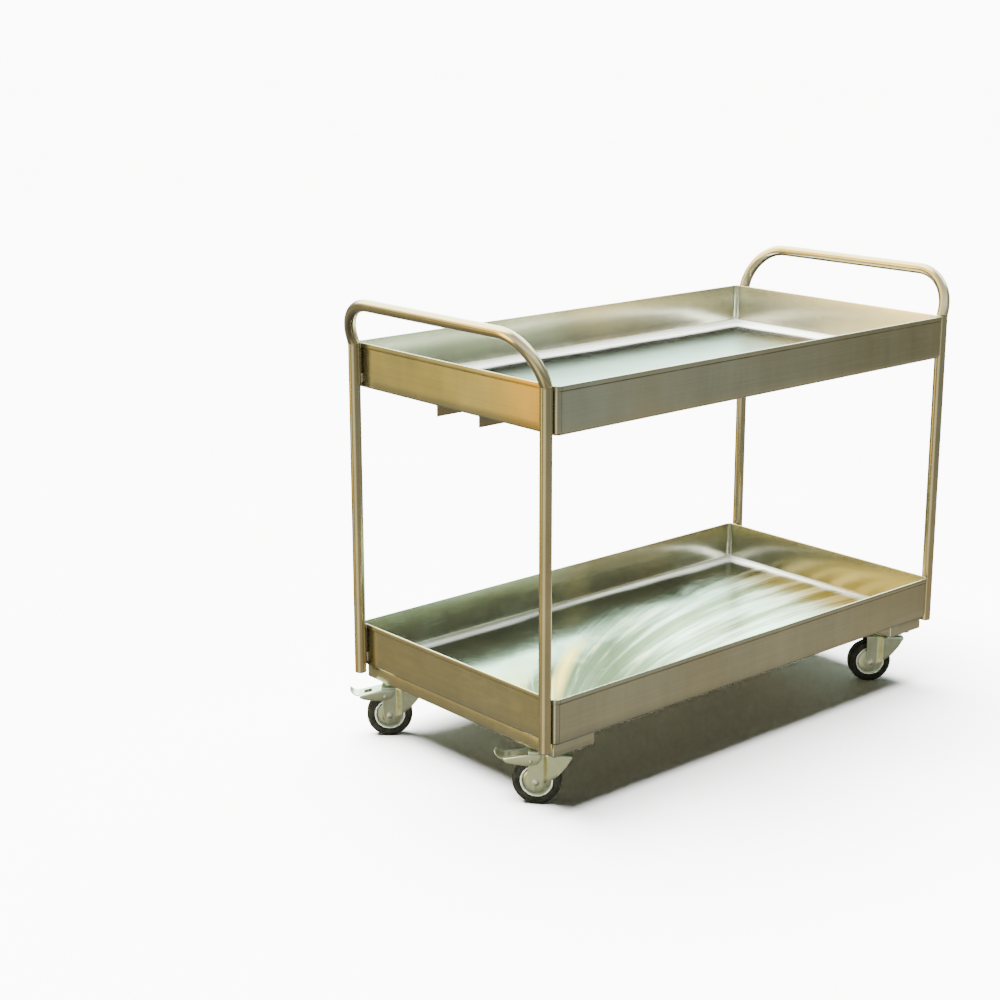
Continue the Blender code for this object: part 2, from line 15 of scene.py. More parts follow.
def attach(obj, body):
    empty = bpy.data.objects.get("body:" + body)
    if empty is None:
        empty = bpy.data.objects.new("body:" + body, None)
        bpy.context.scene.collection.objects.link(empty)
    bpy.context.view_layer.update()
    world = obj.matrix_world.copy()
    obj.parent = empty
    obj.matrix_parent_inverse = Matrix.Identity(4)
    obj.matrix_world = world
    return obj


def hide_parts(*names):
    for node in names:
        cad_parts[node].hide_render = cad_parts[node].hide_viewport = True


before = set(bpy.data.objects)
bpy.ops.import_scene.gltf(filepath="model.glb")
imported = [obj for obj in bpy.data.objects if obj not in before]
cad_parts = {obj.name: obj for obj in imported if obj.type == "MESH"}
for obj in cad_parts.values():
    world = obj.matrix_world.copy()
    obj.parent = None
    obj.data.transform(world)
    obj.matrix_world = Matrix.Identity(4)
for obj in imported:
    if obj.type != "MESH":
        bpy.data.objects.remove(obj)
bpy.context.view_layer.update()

GAP = 0.0003
UP = Vector((0, 0, 1))

# Trays.
TRAY_LENGTH = 1.200
TRAY_WIDTH = 0.634
TRAY_DEPTH = 0.0965
TRAY_SHEET = 0.0012
TRAY_CORNER_R = 0.014
UPPER_RIM_Z = 0.882
LOWER_RIM_Z = 0.257
HEM_HEIGHT = 0.010
HEM_OUT = 0.002
BEND_R = 0.005
COVE_R = 0.011
HALF_X = TRAY_LENGTH / 2
HALF_Y = TRAY_WIDTH / 2
# How far the sheets settle, how high a wall bows most, and where a floor begins to sag.
WALL_BOW = 0.00045
BOW_HEIGHT = 0.045
FLOOR_SAG = 0.0005
SAG_FROM = 0.03
SAG_RUN = 0.10
# A point this near to the outer planes is on a wall, and one above this height is near the rim.
ON_WALL = 0.004
NEAR_RIM = 0.06
# Upward share of the normal, on a level floor and in the cove round it, and how high floors reach.
LEVEL = 0.97
RISING = 0.12
FLOOR_TOP = 0.01

# Tubes.
TUBE_R = 0.0125
TUBE_WALL = 0.0012
LEG_X = HALF_X + TUBE_R + GAP
LEG_Y = 0.301
LEG_BOTTOM_Z = 0.150
HANDLE_LEAN = radians(20.5)
HANDLE_RISE = 0.100
HANDLE_BEND_R = 0.096
BEND_STEPS = 18
TUBE_SIDES = 40

# Weld beads.
BEAD_SIDES = 8
RIPPLE = 0.0016
STITCH_HALF = 0.014

# Pans and channels.
PAN_LENGTH_X = 0.113
PAN_WIDTH_Y = 0.610
PAN_X = 0.5355
PAN_BOTTOM_Z = 0.131
PAN_SHEET = 0.002
CHANNEL_WIDTH = 0.134
CHANNEL_DEPTH = 0.028
CHANNEL_SHEET = 0.0015
UPPER_CHANNEL_HALF = 0.579
LOWER_CHANNEL_HALF = 0.477

# Casters.
CASTER_X = 0.534
CASTER_Y = 0.244
WHEEL_R = 0.050
AXLE_Z = WHEEL_R
TRAIL = 0.035
PLATE_X = 0.085
PLATE_Y = 0.105
PLATE_THICK = 0.0025
PLATE_HOLE_X = 0.060
PLATE_HOLE_Y = 0.080
CROWN_Z = 0.117
FORK_SHEET = 0.003
FORK_REAR_HALF = 0.0205
FORK_FRONT_HALF = 0.031
FORK_STEP_X = (0.014, 0.026)
PIVOT = (-0.010, 0.045)
PEDAL_SHEET = 0.002
PEDAL_HALF = 0.0229
PEDAL_LINE = ((-0.066, 0.0480), (-0.0175, 0.0585), (0.012, 0.062))
PEDAL_LOWER = (
    (-0.066, 0.0425), (-0.056, 0.0385), (-0.039, 0.0362), (-0.026, 0.0355),
    (-0.0175, 0.0350), (-0.006, 0.0370), (0.005, 0.0420), (0.012, 0.0520),
)
WINDOW = (-0.056, -0.039, 0.009)
TOE_CURL_R = 0.022
TOE_CURL = radians(66)
# Lower edge of a fork's cheek, with the radius that rounds each of its corners.
FORK_EDGE = (
    (0.012, -0.004, 0.004), (0.026, 0.0065, 0.02), (0.045, 0.020, 0.03), (0.062, 0.040, 0.03),
    (0.074, 0.060),
)
FORK_FOLD_R = 0.007
# The crown droops over the last stretch before its front end.
CROWN_DROOP = 0.0025
DROOP_RUN = 0.012
FORK_BEVEL = 0.0006
PEDAL_BEVEL = 0.0005
# With a brake and without: the lobe round the axle, and how far behind it the cheeks reach.
LOBE_R = {True: 0.0175, False: 0.0145}
CHEEK_BACK = {True: -0.016, False: -0.011}
LOBE_FRONT = 0.010
PEDAL_FOLD_R = 0.0034
PEDAL_FOLD_STEPS = 4
PEDAL_FRONT = 0.012
TOE_STEPS = 10
TOE_DISH = 0.0022
SHOE_X = (-0.035, -0.020)
SHOE_HALF = 0.010
SHOE_TO_TYRE = 0.0028
# Rim of the wheel centre, made brighter than its disc by a paler, partly diffuse zinc: a painted
# highlight.
BRIGHT_FROM_R = 0.0304

# +X or -X end, -Y or +Y side, angle of the fork, and whether the caster has a brake.
CORNERS = {
    "front_left": (-1, -1, radians(-49), True),
    "rear_left": (-1, 1, radians(-37), True),
    "front_right": (1, -1, radians(-37), False),
    "rear_right": (1, 1, radians(-43), False),
}


# ---------------------------------------------------------------- node trees

def arithmetic(operation):
    """A method of Nodes that adds one math node and returns its output."""
    def work(self, a, b=0.0):
        return self.add("ShaderNodeMath", {0: a, 1: b}, operation=operation).outputs["Value"]
    return work


class Nodes:
    """Small helper for writing the node tree of a material, or of the world."""

    def __init__(self, name, world=None):
        owner = world or bpy.data.materials.new(name)
        owner.use_nodes = True
        self.owner = owner
        self.tree = owner.node_tree
        self.shader = self.tree.nodes["Background" if world else "Principled BSDF"]

    def feed(self, socket, value):
        """Links a socket to another node's output, or sets its own value."""
        if isinstance(value, bpy.types.NodeSocket):
            self.tree.links.new(value, socket)
        elif socket.type == "RGBA":
            socket.default_value = (*value, 1.0)
        else:
            socket.default_value = value

    def shade(self, **inputs):
        """Feeds the shader's inputs, with underscores for spaces, and returns the owner."""
        for key, value in inputs.items():
            self.feed(self.shader.inputs[key.replace("_", " ")], value)
        return self.owner

    def add(self, kind, inputs, **settings):
        """Adds a node, with its settings first and then its inputs by name or number."""
        node = self.tree.nodes.new(kind)
        for key, value in settings.items():
            setattr(node, key, value)
        for key, value in inputs.items():
            self.feed(node.inputs[key], value)
        return node

    def coords(self, kind):
        return self.add("ShaderNodeTexCoord", {}).outputs[kind]

    def split(self, vector):
        return self.add("ShaderNodeSeparateXYZ", {0: vector}).outputs

    def vector(self, operation, inputs, output="Vector"):
        return self.add("ShaderNodeVectorMath", inputs, operation=operation).outputs[output]

    def scaled(self, vector, scale, offset=(0, 0, 0)):
        node = self.add("ShaderNodeMapping",
                        {"Vector": vector, "Scale": scale, "Location": offset})
        return node.outputs["Vector"]

    def noise(self, vector, scale=1.0, detail=3.0, roughness=0.5, distortion=0.0):
        node = self.add("ShaderNodeTexNoise", {
            "Vector": vector, "Scale": scale, "Detail": detail, "Roughness": roughness,
            "Distortion": distortion,
        })
        return node.outputs["Fac"]

    def spread(self, value, low, high, to_low=0.0, to_high=1.0):
        node = self.add("ShaderNodeMapRange", {
            "Value": value, "From Min": low, "From Max": high, "To Min": to_low, "To Max": to_high,
        })
        return node.outputs["Result"]

    def blend(self, factor, a, b):
        node = self.add("ShaderNodeMix", {"Factor": factor, 6: a, 7: b}, data_type="RGBA")
        return node.outputs[2]

    def bump(self, height, distance, strength=1.0, **under):
        """The normal of a bump. `under` may hold Normal, which this one is laid over."""
        inputs = {"Height": height, "Distance": distance, "Strength": strength}
        return self.add("ShaderNodeBump", {**inputs, **under}).outputs["Normal"]

    def plus(self, value, *others):
        for other in others:
            value = self.sum_of(value, other)
        return value

    sum_of = arithmetic("ADD")
    minus = arithmetic("SUBTRACT")
    times = arithmetic("MULTIPLY")
    absolute = arithmetic("ABSOLUTE")
    larger = arithmetic("MAXIMUM")
    smaller = arithmetic("MINIMUM")
    is_over = arithmetic("GREATER_THAN")
    is_under = arithmetic("LESS_THAN")
    angle_of = arithmetic("ARCTAN2")


# ---------------------------------------------------------------- materials

# Painted dark reflection of the walls along a floor's edge.
PAINTED_WALL_REFLECTION = (0.020, 0.026, 0.028)
# Painted highlight on a tray's fold: pale, and only partly metallic.
PAINTED_FOLD_HIGHLIGHT = (0.88, 0.93, 0.86)
FOLD_HIGHLIGHT_METALLIC = 0.2
STRAW_HIGHLIGHT_METALLIC = 0.45
# Colour of the shade painted under the hem, in the corner seams and beside the legs.
PAINTED_WALL_SHADE = (0.085, 0.070, 0.040)
# Painted amber reflection on the left end wall, and a painted straw highlight on the right one.
PAINTED_AMBER_REFLECTION = (0.95, 0.59, 0.10)
PAINTED_STRAW_HIGHLIGHT = (0.93, 0.76, 0.36)
# Painted golden reflection in a streak on the lower floor.
PAINTED_GOLD_REFLECTION = (0.97, 0.56, 0.15)
# Painted reflections in the polish strokes, paler and darker ones, away from the front left corner
# and then towards it.
STROKES_PAINTED_LIGHT = ((0.90, 0.93, 0.87), (0.86, 0.66, 0.30))
STROKES_PAINTED_DARK = ((0.24, 0.25, 0.15), (0.082, 0.086, 0.042))
TINT_SHARE = 0.35
SHEET_WAVES = 0.003
LINE_HEIGHT = 0.000002
STROKE_HEIGHT = 0.0005


def brushed(name, pale, rough, grain, contrast=0.10, aniso=0.6, tint=(0.66, 0.53, 0.30),
            metallic=1.0, edge_on=1.0, paint_wall_shade=False, paint_end_reflections=False, polish_and_painted_reflections=False,
            wall_reflection_share=0.0, fold_end=0.0):
    """Brushed stainless: fine lines along U, cloudy handling marks and a faint heat tint.

    `edge_on` below 1 keeps the metal from whitening at low angles. `paint_wall_shade` adds painted
    shade in the folds of the walls, under the hem, down the corner seams and beside the legs,
    `paint_end_reflections` a painted amber reflection at the tray's front left corner and a painted
    straw highlight on its right end wall, and `polish_and_painted_reflections` the hazy strokes of
    hand polish, which fan out over a floor, with pale, dark and golden reflections painted into
    them.
    `wall_reflection_share` is the share of a painted dark reflection of the walls, a grey that a
    floor shows along its walls at low angles only, and `fold_end` is how far from the walls' outer
    planes its painted pale highlight on the fold reaches.
    """
    m = Nodes(name)
    uv, place = m.coords("UV"), m.coords("Object")
    lines = m.noise(m.scaled(uv, (9.0, grain, 1.0)), roughness=0.6)
    coarse = m.noise(m.scaled(uv, (1.3, grain / 14, 1.0), (0.3, 0.7, 0)))
    drag = m.noise(m.scaled(uv, (15.0, 1.2, 1.0), (4.1, 0.2, 0)), 1.0, 4.0, 0.65)
    clouds = m.noise(place, 3.6, 4.0, 0.6, 0.7)
    smears = m.noise(m.scaled(place, (1.0, 1.0, 2.2), (2.0, 5.0, 1.0)), 13.0, 5.0, 0.62, 1.1)
    waves = m.noise(place, 3.2, 2.0, 0.45)
    tone = m.plus(m.times(lines, 0.18), m.times(coarse, 0.16), m.times(drag, 0.26),
                  m.times(clouds, 0.40))
    dark = tuple(c * (1 - 3 * contrast) for c in pale)
    colour = m.blend(m.spread(tone, 0.38, 0.62), dark, pale)
    share = m.spread(m.noise(place, 2.3, 2.0, 0.5, 0.8), 0.44, 0.70, 0.0, TINT_SHARE)
    colour = m.blend(share, colour, tint)
    roughness = m.spread(lines, 0.30, 0.70, rough - 0.02, rough + 0.02)
    normal = m.bump(lines, LINE_HEIGHT, Normal=m.bump(waves, SHEET_WAVES))
    if paint_wall_shade:
        # Painted shade: darker and rougher under the hem, in the corner seams and beside the legs.
        shade_share = wall_painted_shade(m, place)
        colour = m.blend(shade_share, colour, PAINTED_WALL_SHADE)
        roughness = m.plus(roughness, m.times(shade_share, 0.25))
    if wall_reflection_share:
        # Painted dark reflection of the walls along the floor's edge, seen at low angles only.
        near = m.plus(edge_distance(m, place), m.spread(waves, 0.3, 0.7, -0.008, 0.008))
        low_angle = m.spread(m.add("ShaderNodeLayerWeight", {}).outputs["Facing"], 0.40, 0.72)
        shade = m.times(m.spread(near, fold_end + 0.120, fold_end + 0.030, 0.0, wall_reflection_share), low_angle)
        # Painted highlight: a pale, less metallic band on the fold.
        fold_highlight = m.spread(near, fold_end + 0.006, fold_end - 0.018)
        colour = m.blend(fold_highlight, m.blend(shade, colour, PAINTED_WALL_REFLECTION), PAINTED_FOLD_HIGHLIGHT)
        roughness = m.minus(roughness, m.times(shade, 0.03))
        metallic = m.spread(fold_highlight, 0.0, 1.0, metallic, FOLD_HIGHLIGHT_METALLIC)
    if paint_end_reflections:
        # Painted reflections on the end walls: amber at the front left, a paler, less metallic straw
        # highlight on the right.
        amber_reflection, straw_highlight = end_wall_reflection_masks(m, place)
        colour = m.blend(straw_highlight, m.blend(amber_reflection, colour, PAINTED_AMBER_REFLECTION), PAINTED_STRAW_HIGHLIGHT)
        metallic = m.spread(straw_highlight, 0.0, 1.0, metallic, STRAW_HIGHLIGHT_METALLIC)
    if polish_and_painted_reflections:
        # The haze and strokes are real; pale, dark and golden reflections are painted into them.
        haze, strokes, warm, cream, gold_reflection = polish_with_painted_reflections(m, place)
        level = m.plus(strokes, m.minus(m.times(cream, 0.20), m.times(warm, 0.08)))
        light = m.blend(warm, *STROKES_PAINTED_LIGHT)
        dark_reflection = m.blend(warm, *STROKES_PAINTED_DARK)
        colour = m.blend(m.times(haze, m.times(warm, 0.8)), colour, dark_reflection)
        colour = m.blend(m.times(haze, m.spread(level, 0.48, 0.62)), colour, light)
        colour = m.blend(m.times(haze, m.spread(level, 0.52, 0.38, 0.0, 0.9)), colour, dark_reflection)
        colour = m.blend(gold_reflection, colour, PAINTED_GOLD_REFLECTION)
        roughness = m.plus(roughness, m.times(haze, m.spread(strokes, 0.35, 0.65, 0.12, 0.26)))
        normal = m.bump(strokes, STROKE_HEIGHT, Normal=normal)
    tangent = m.add("ShaderNodeTangent", {}, direction_type="UV_MAP").outputs["Tangent"]
    return m.shade(Base_Color=colour, Metallic=metallic, Normal=normal, Tangent=tangent,
                   Roughness=m.plus(roughness, m.spread(smears, 0.50, 0.78, 0.0, 0.05)),
                   Specular_Tint=(edge_on,) * 3, Anisotropic=aniso, Anisotropic_Rotation=0.25)


def edge_distance(m, place):
    """Distance inwards from the outer planes of a tray's walls."""
    at = m.split(place)
    return m.smaller(m.minus(HALF_X, m.absolute(at["X"])), m.minus(HALF_Y, m.absolute(at["Y"])))


def wall_painted_shade(m, place):
    """Painted shade under the hem, down the seams of the corners and beside the legs."""
    at = m.split(place)
    x, y = m.absolute(at["X"]), m.absolute(at["Y"])
    outside = m.is_under(edge_distance(m, place), HEM_OUT + TRAY_SHEET / 2)
    below = [m.absolute(m.minus(at["Z"], rim - HEM_HEIGHT - 0.0007))
             for rim in (UPPER_RIM_Z, LOWER_RIM_Z)]
    hem = m.times(outside, m.spread(m.smaller(*below), 0.0020, 0.0006, 0.0, 0.92))
    bend = m.absolute(m.minus(x, HALF_X - TRAY_CORNER_R))
    seam = m.times(m.is_over(y, HALF_Y - 0.008),
                   m.spread(bend, 0.0016, 0.0004, 0.0, 0.55))
    corner = m.times(m.spread(x, HALF_X - 0.014, HALF_X - 0.007),
                     m.spread(y, HALF_Y - 0.016, HALF_Y - 0.008, 0.0, 0.12))
    beside = m.times(m.is_over(x, HALF_X - 0.003),
                     m.spread(m.absolute(m.minus(y, LEG_Y)), 0.046, 0.020, 0.0, 0.50))
    shade_share = m.larger(m.larger(hem, seam), m.larger(corner, beside))
    return m.times(shade_share, m.spread(m.noise(place, 24.0, 4.0, 0.6), 0.3, 0.65, 0.6, 1.0))


def end_wall_reflection_masks(m, place):
    """Painted amber reflection along the left end wall, and a painted pale straw highlight on the
    right end wall.
    """
    at = m.split(place)
    flat_end = HALF_Y - TRAY_CORNER_R
    flat = m.spread(m.absolute(at["Y"]), flat_end, flat_end - 0.006)
    left = m.times(m.spread(at["X"], -HALF_X + 0.004, -HALF_X + 0.001), flat)
    right = m.times(m.spread(at["X"], HALF_X - 0.008, HALF_X - 0.005), flat)
    ragged = m.plus(at["Y"], m.spread(m.noise(place, 9.0), 0.3, 0.7, -0.03, 0.03))
    return (m.times(left, m.times(m.spread(ragged, -0.08, -0.24), 0.85)),
            m.times(right, m.spread(ragged, 0.24, -0.20, 0.15, 0.9)))


# Added to a position, this counts it from the point that the polish strokes fan out from.
FAN_OFFSET = (0.66, 0.46, 0.0)


def polish_with_painted_reflections(m, place):
    """Hand polish on a tray floor: its haze and its strokes, and the warm, cream and golden masks
    where reflections are painted into them.
    """
    at = m.split(place)
    x, y = at["X"], at["Y"]
    border = m.plus(m.times(x, 0.24), 0.16)
    wander = m.spread(m.noise(place, 5.0, 4.0, 0.5, 0.6), 0.3, 0.7, -0.05, 0.05)
    inside = m.plus(m.minus(border, y), wander)
    fan = m.vector("ADD", {0: place, 1: FAN_OFFSET})
    flat_fan = m.vector("MULTIPLY", {0: fan, 1: (1.0, 1.0, 0.0)})
    reach = m.vector("LENGTH", {0: flat_fan}, "Value")
    fan_at = m.split(fan)
    angle = m.plus(m.angle_of(fan_at["Y"], fan_at["X"]), m.times(reach, 0.35))
    haze = m.times(m.spread(inside, -0.02, 0.09), m.spread(reach, 0.20, 0.44, 0.2, 1.0))
    across = m.minus(m.times(x, 0.75), m.times(y, 0.66))
    polar = m.add("ShaderNodeCombineXYZ", {0: m.times(angle, 24.0), 1: m.times(reach, 1.6)})
    strokes = m.noise(polar.outputs["Vector"], 1.0, 7.0, 0.62, 0.2)
    gold_reflection = m.times(m.spread(m.absolute(m.minus(angle, 1.09)), 0.040, 0.0, 0.0, 0.9),
                   m.spread(m.absolute(m.minus(reach, 0.58)), 0.22, 0.10))
    return haze, strokes, m.spread(across, 0.06, -0.10), m.spread(angle, 1.17, 1.25), gold_reflection


def plated(name, pale, dark, rough, metallic=1.0):
    """Zinc plate: cloudy passivation, small specks and a slightly uneven surface."""
    m = Nodes(name)
    place = m.coords("Object")
    clouds = m.noise(place, 42.0, 5.0, 0.6, 0.5)
    specks = m.noise(place, 420.0, 3.0, 0.65)
    colour = m.blend(m.spread(clouds, 0.32, 0.70), dark, pale)
    return m.shade(
        Base_Color=m.blend(m.spread(specks, 0.60, 0.80, 0.0, 0.35), colour, (0.20, 0.19, 0.14)),
        Roughness=m.plus(m.spread(clouds, 0.3, 0.7, rough - 0.06, rough + 0.06),
                         m.spread(specks, 0.5, 0.8, 0.0, 0.10)),
        Metallic=metallic,
        Normal=m.bump(specks, 0.00006, 0.8, Normal=m.bump(clouds, 0.00025, 0.5)))


def rubber(name):
    """Olive-black rubber with moulding grain, dust in the pores and a dry, worn tread."""
    m = Nodes(name)
    place = m.coords("Object")
    fine = m.noise(place, 900.0, 4.0, 0.7)
    patches = m.noise(place, 60.0, 4.0, 0.6, 0.4)
    colour = m.blend(m.spread(patches, 0.35, 0.72), (0.007, 0.0078, 0.003), (0.014, 0.015, 0.007))
    dust = m.spread(m.times(fine, patches), 0.26, 0.42, 0.0, 0.30)
    return m.shade(
        Base_Color=m.blend(dust, colour, (0.038, 0.038, 0.025)),
        Roughness=m.spread(fine, 0.3, 0.7, 0.62, 0.82),
        Specular_IOR_Level=0.18,
        Normal=m.bump(fine, 0.00009, 0.8, Normal=m.bump(patches, 0.0002, 0.4)))


def moulded(name):
    """Black moulded plastic with a fine spark-eroded grain."""
    m = Nodes(name)
    place = m.coords("Object")
    fine = m.noise(place, 1100.0, 3.0, 0.6)
    patches = m.spread(m.noise(place, 90.0), 0.3, 0.7)
    return m.shade(Base_Color=m.blend(patches, (0.020, 0.020, 0.020), (0.038, 0.037, 0.035)),
                   Roughness=m.spread(fine, 0.3, 0.7, 0.42, 0.60),
                   Normal=m.bump(fine, 0.00008, 0.7))


def weld_metal(name):
    """Weld bead: bright ripples with straw and blue heat colours along its edges."""
    m = Nodes(name)
    place = m.coords("Object")
    heat = m.noise(place, 150.0, distortion=0.7)
    fine = m.noise(place, 700.0, 4.0, 0.7)
    colour = m.blend(m.spread(heat, 0.35, 0.55), (0.66, 0.50, 0.28), (0.70, 0.69, 0.66))
    return m.shade(
        Base_Color=m.blend(m.spread(heat, 0.58, 0.72, 0.0, 0.6), colour, (0.30, 0.34, 0.42)),
        Roughness=m.spread(fine, 0.3, 0.7, 0.24, 0.46),
        Metallic=1.0,
        Normal=m.bump(fine, 0.0001, 0.7))


WALL = {"pale": (0.655, 0.66, 0.56), "rough": 0.165, "grain": 2300.0, "contrast": 0.08,
        "tint": (0.62, 0.51, 0.30)}
SHEET = brushed("brushed_sheet", **WALL)
# Sheet with shade painted under the hem, in the corner seams and beside the legs.
SHEET_PAINTED_SHADE = brushed("sheet_with_painted_shade", paint_wall_shade=True, **WALL)
# Sheet with that painted shade and with painted reflections on its end walls.
END_REFLECTIONS_AND_SHADE_SHEET = brushed("end_reflections_and_shade_sheet", paint_wall_shade=True, paint_end_reflections=True, **WALL)
# The fold's sheet: a painted highlight, pale and only partly metallic.
FOLD_HIGHLIGHT_SHEET = brushed("fold_painted_highlight", PAINTED_FOLD_HIGHLIGHT, 0.22, 2300.0, contrast=0.03, aniso=0.3,
               tint=(0.86, 0.84, 0.74), metallic=FOLD_HIGHLIGHT_METALLIC)
# Mill finish, duller, and darkened as painted shade for the stiffeners under the trays.
MILL_PAINTED_SHADE = brushed("mill_finish_with_painted_shade", (0.40, 0.36, 0.26), 0.30, 1500.0, contrast=0.12, aniso=0.2)
# The upper floor, with the walls' painted dark reflection and a painted highlight on its fold.
FLOOR = brushed("brushed_tray_floor", (0.69, 0.74, 0.71), 0.30, 2100.0, contrast=0.03, aniso=0.3,
                tint=(0.64, 0.69, 0.64), wall_reflection_share=0.95, fold_end=0.046, edge_on=0.6)
# The lower floor: real polish haze and strokes with painted reflections, and the walls' painted dark
# reflection at its edge.
LOWER_FLOOR_POLISH_AND_REFLECTIONS = brushed("lower_floor_hand_polish_painted_reflections", (0.62, 0.64, 0.56), 0.13, 2100.0, contrast=0.05,
                  aniso=0.3, tint=(0.60, 0.54, 0.38), polish_and_painted_reflections=True, wall_reflection_share=0.5,
                  fold_end=0.027, edge_on=0.55)
TUBE = brushed("satin_tube", (0.67, 0.605, 0.43), 0.16, 1900.0, contrast=0.08,
               tint=(0.66, 0.50, 0.27))
ZINC = plated("zinc_plate", (0.62, 0.68, 0.56), (0.49, 0.545, 0.44), 0.36)
BRIGHT_ZINC = plated("bright_zinc", (0.76, 0.78, 0.71), (0.61, 0.63, 0.56), 0.22)
# Paler, partly diffuse zinc for the wheel's rolled rim: a painted highlight.
RIM_ZINC_PAINTED_HIGHLIGHT = plated("rolled_rim_painted_highlight", (0.80, 0.81, 0.75), (0.62, 0.63, 0.56), 0.30, 0.55)
GROUND_WELD = plated("ground_weld", (0.52, 0.455, 0.31), (0.35, 0.30, 0.19), 0.34)
TYRE = rubber("tyre_rubber")
PLASTIC = moulded("cap_plastic")
WELD = weld_metal("weld_bead")


# ---------------------------------------------------------------- mesh tools

def rounded(points, steps):
    """Replaces corners of a 2-D line with arcs, where a point has a radius as its third value."""
    line = []
    for i, (x, y, *radius) in enumerate(points):
        corner = Vector((x, y))
        if not radius:
            line.append(tuple(corner))
            continue
        back = Vector(points[i - 1][:2]) - corner
        ahead = Vector(points[(i + 1) % len(points)][:2]) - corner
        half_opening = back.angle(ahead) / 2
        reach = min(radius[0] / tan(half_opening), back.length * 0.49, ahead.length * 0.49)
        real = reach * tan(half_opening)
        middle = (back.normalized() + ahead.normalized()).normalized()
        hub = corner + middle * (real / sin(half_opening))
        start = corner + back.normalized() * reach - hub
        end = corner + ahead.normalized() * reach - hub
        sweep = start.angle_signed(end)
        for step in range(steps + 1):
            angle = -sweep * step / steps
            arm = Vector((start.x * cos(angle) - start.y * sin(angle),
                          start.x * sin(angle) + start.y * cos(angle)))
            line.append((hub.x + arm.x, hub.y + arm.y))
    return line


def loft(rings, along=False, loop=False, caps=True, open_rings=False):
    """Skins rings of points and lays UVs in metres, U along the grain.

    The grain runs round the rings, or from ring to ring where `along` is set. `loop` joins
    the last ring to the first. `caps` closes both ends with one face each.
    """
    bm = bmesh.new()
    layer = bm.loops.layers.uv.new("UVMap")
    grid = [[bm.verts.new(point) for point in ring] for ring in rings]
    middle = rings[len(rings) // 2]
    around = [0.0]
    for a, b in zip(middle, list(middle[1:]) + [middle[0]]):
        around.append(around[-1] + (Vector(b) - Vector(a)).length)
    forward = [0.0]
    following = list(rings[1:]) + ([rings[0]] if loop else [])
    for ring, other in zip(rings, following):
        step = sum((Vector(b) - Vector(a)).length for a, b in zip(ring, other)) / len(ring)
        forward.append(forward[-1] + step)
    columns = len(middle) - 1 if open_rings else len(middle)
    for i in range(len(following)):
        first, second = grid[i], grid[(i + 1) % len(grid)]
        for j in range(columns):
            k = (j + 1) % len(middle)
            face = bm.faces.new((first[j], first[k], second[k], second[j]))
            spots = ((j, i), (j + 1, i), (j + 1, i + 1), (j, i + 1))
            for corner, (column, row) in zip(face.loops, spots):
                uv = (around[column], forward[row])
                corner[layer].uv = (uv[1], uv[0]) if along else uv
    if caps and not loop:
        for ring in (grid[0], grid[-1]):
            face = bm.faces.new(ring)
            for corner in face.loops:
                corner[layer].uv = (corner.vert.co.x, corner.vert.co.y)
    bmesh.ops.recalc_face_normals(bm, faces=bm.faces)
    return bm


def lay_flat_uv(bm):
    """Box-projects UVs: U is horizontal, along the sheet, and V crosses it."""
    layer = bm.loops.layers.uv.verify()
    for face in bm.faces:
        n = face.normal
        for corner in face.loops:
            x, y, z = corner.vert.co
            if abs(n.z) > 0.7:
                corner[layer].uv = (x, y)
            elif abs(n.y) >= abs(n.x):
                corner[layer].uv = (x, z)
            else:
                corner[layer].uv = (y, z)
    return bm


def round_angles(count):
    return [step / count * TAU for step in range(count)]


def evenly(start, end, steps):
    """Both ends of a stretch and the values that divide it into equal steps."""
    return [start + (end - start) * step / steps for step in range(steps + 1)]


def turned(profile, segments, axis="Z", loop=False, radius_at=None):
    """Turns (radius, height) pairs about an axis. `radius_at` may reshape the rings."""
    rings = []
    for r, h in profile:
        ring = []
        for angle in round_angles(segments):
            reach = radius_at(r, angle) if radius_at else r
            a, b = reach * cos(angle), reach * sin(angle)
            ring.append((a, b, h) if axis == "Z" else (b, h, a))
        rings.append(ring)
    return loft(rings, loop=loop)


def hexed(flat, chamfer_from):
    """Ring shaper: a hexagon across `flat`, round where the radius is under `chamfer_from`."""
    def shape(r, angle):
        if r < chamfer_from:
            return r
        return flat / 2 / cos((angle % (TAU / 6)) - TAU / 12)
    return shape


def to_mesh(name, bm):
    mesh = bpy.data.meshes.new(name)
    bm.to_mesh(mesh)
    bm.free()
    mesh.shade_smooth()
    return mesh


def add_object(name, data):
    made = bpy.data.objects.new(name, data)
    bpy.context.scene.collection.objects.link(made)
    return made


def piece(name, bm, material, body, replaces=(), spot=None, sharp=32):
    """Makes the object, moves its mesh to where it stands and lets it ride on its body."""
    if spot is not None:
        bmesh.ops.transform(bm, matrix=spot, verts=bm.verts)
    mesh = to_mesh(name, bm)
    mesh.set_sharp_from_angle(angle=radians(sharp))
    mesh.materials.append(material)
    made = add_object(name, mesh)
    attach(made, body)
    if replaces:
        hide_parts(*replaces)
    return made


def stand_in(node, bm, material, spot=None, body="frame", sharp=32):
    """Makes the piece that takes the place of one CAD node."""
    return piece(f"look_{node}", bm, material, body, [node], spot, sharp)


def solidify(made, thickness, bevel):
    """Gives a sheet its thickness, inwards, and breaks its edges."""
    wall = made.modifiers.new("thickness", "SOLIDIFY")
    wall.thickness = thickness
    wall.offset = -1.0
    wall.use_even_offset = True
    edge = made.modifiers.new("edges", "BEVEL")
    edge.width = bevel
    edge.segments = 2
    edge.limit_method = "ANGLE"
    edge.angle_limit = radians(50)


def wave(x, y, seed):
    """Slow unevenness of a sheet, between -1 and 1."""
    return (sin(x * 9.1 + seed) * sin(y * 7.3 + seed * 1.7)
            + 0.6 * sin(x * 17.3 - y * 11.9 + seed * 2.3)
            + 0.4 * sin(x * 5.3 + y * 23.7 + seed * 0.9)) / 2.0


# ---------------------------------------------------------------- trays, pans, channels

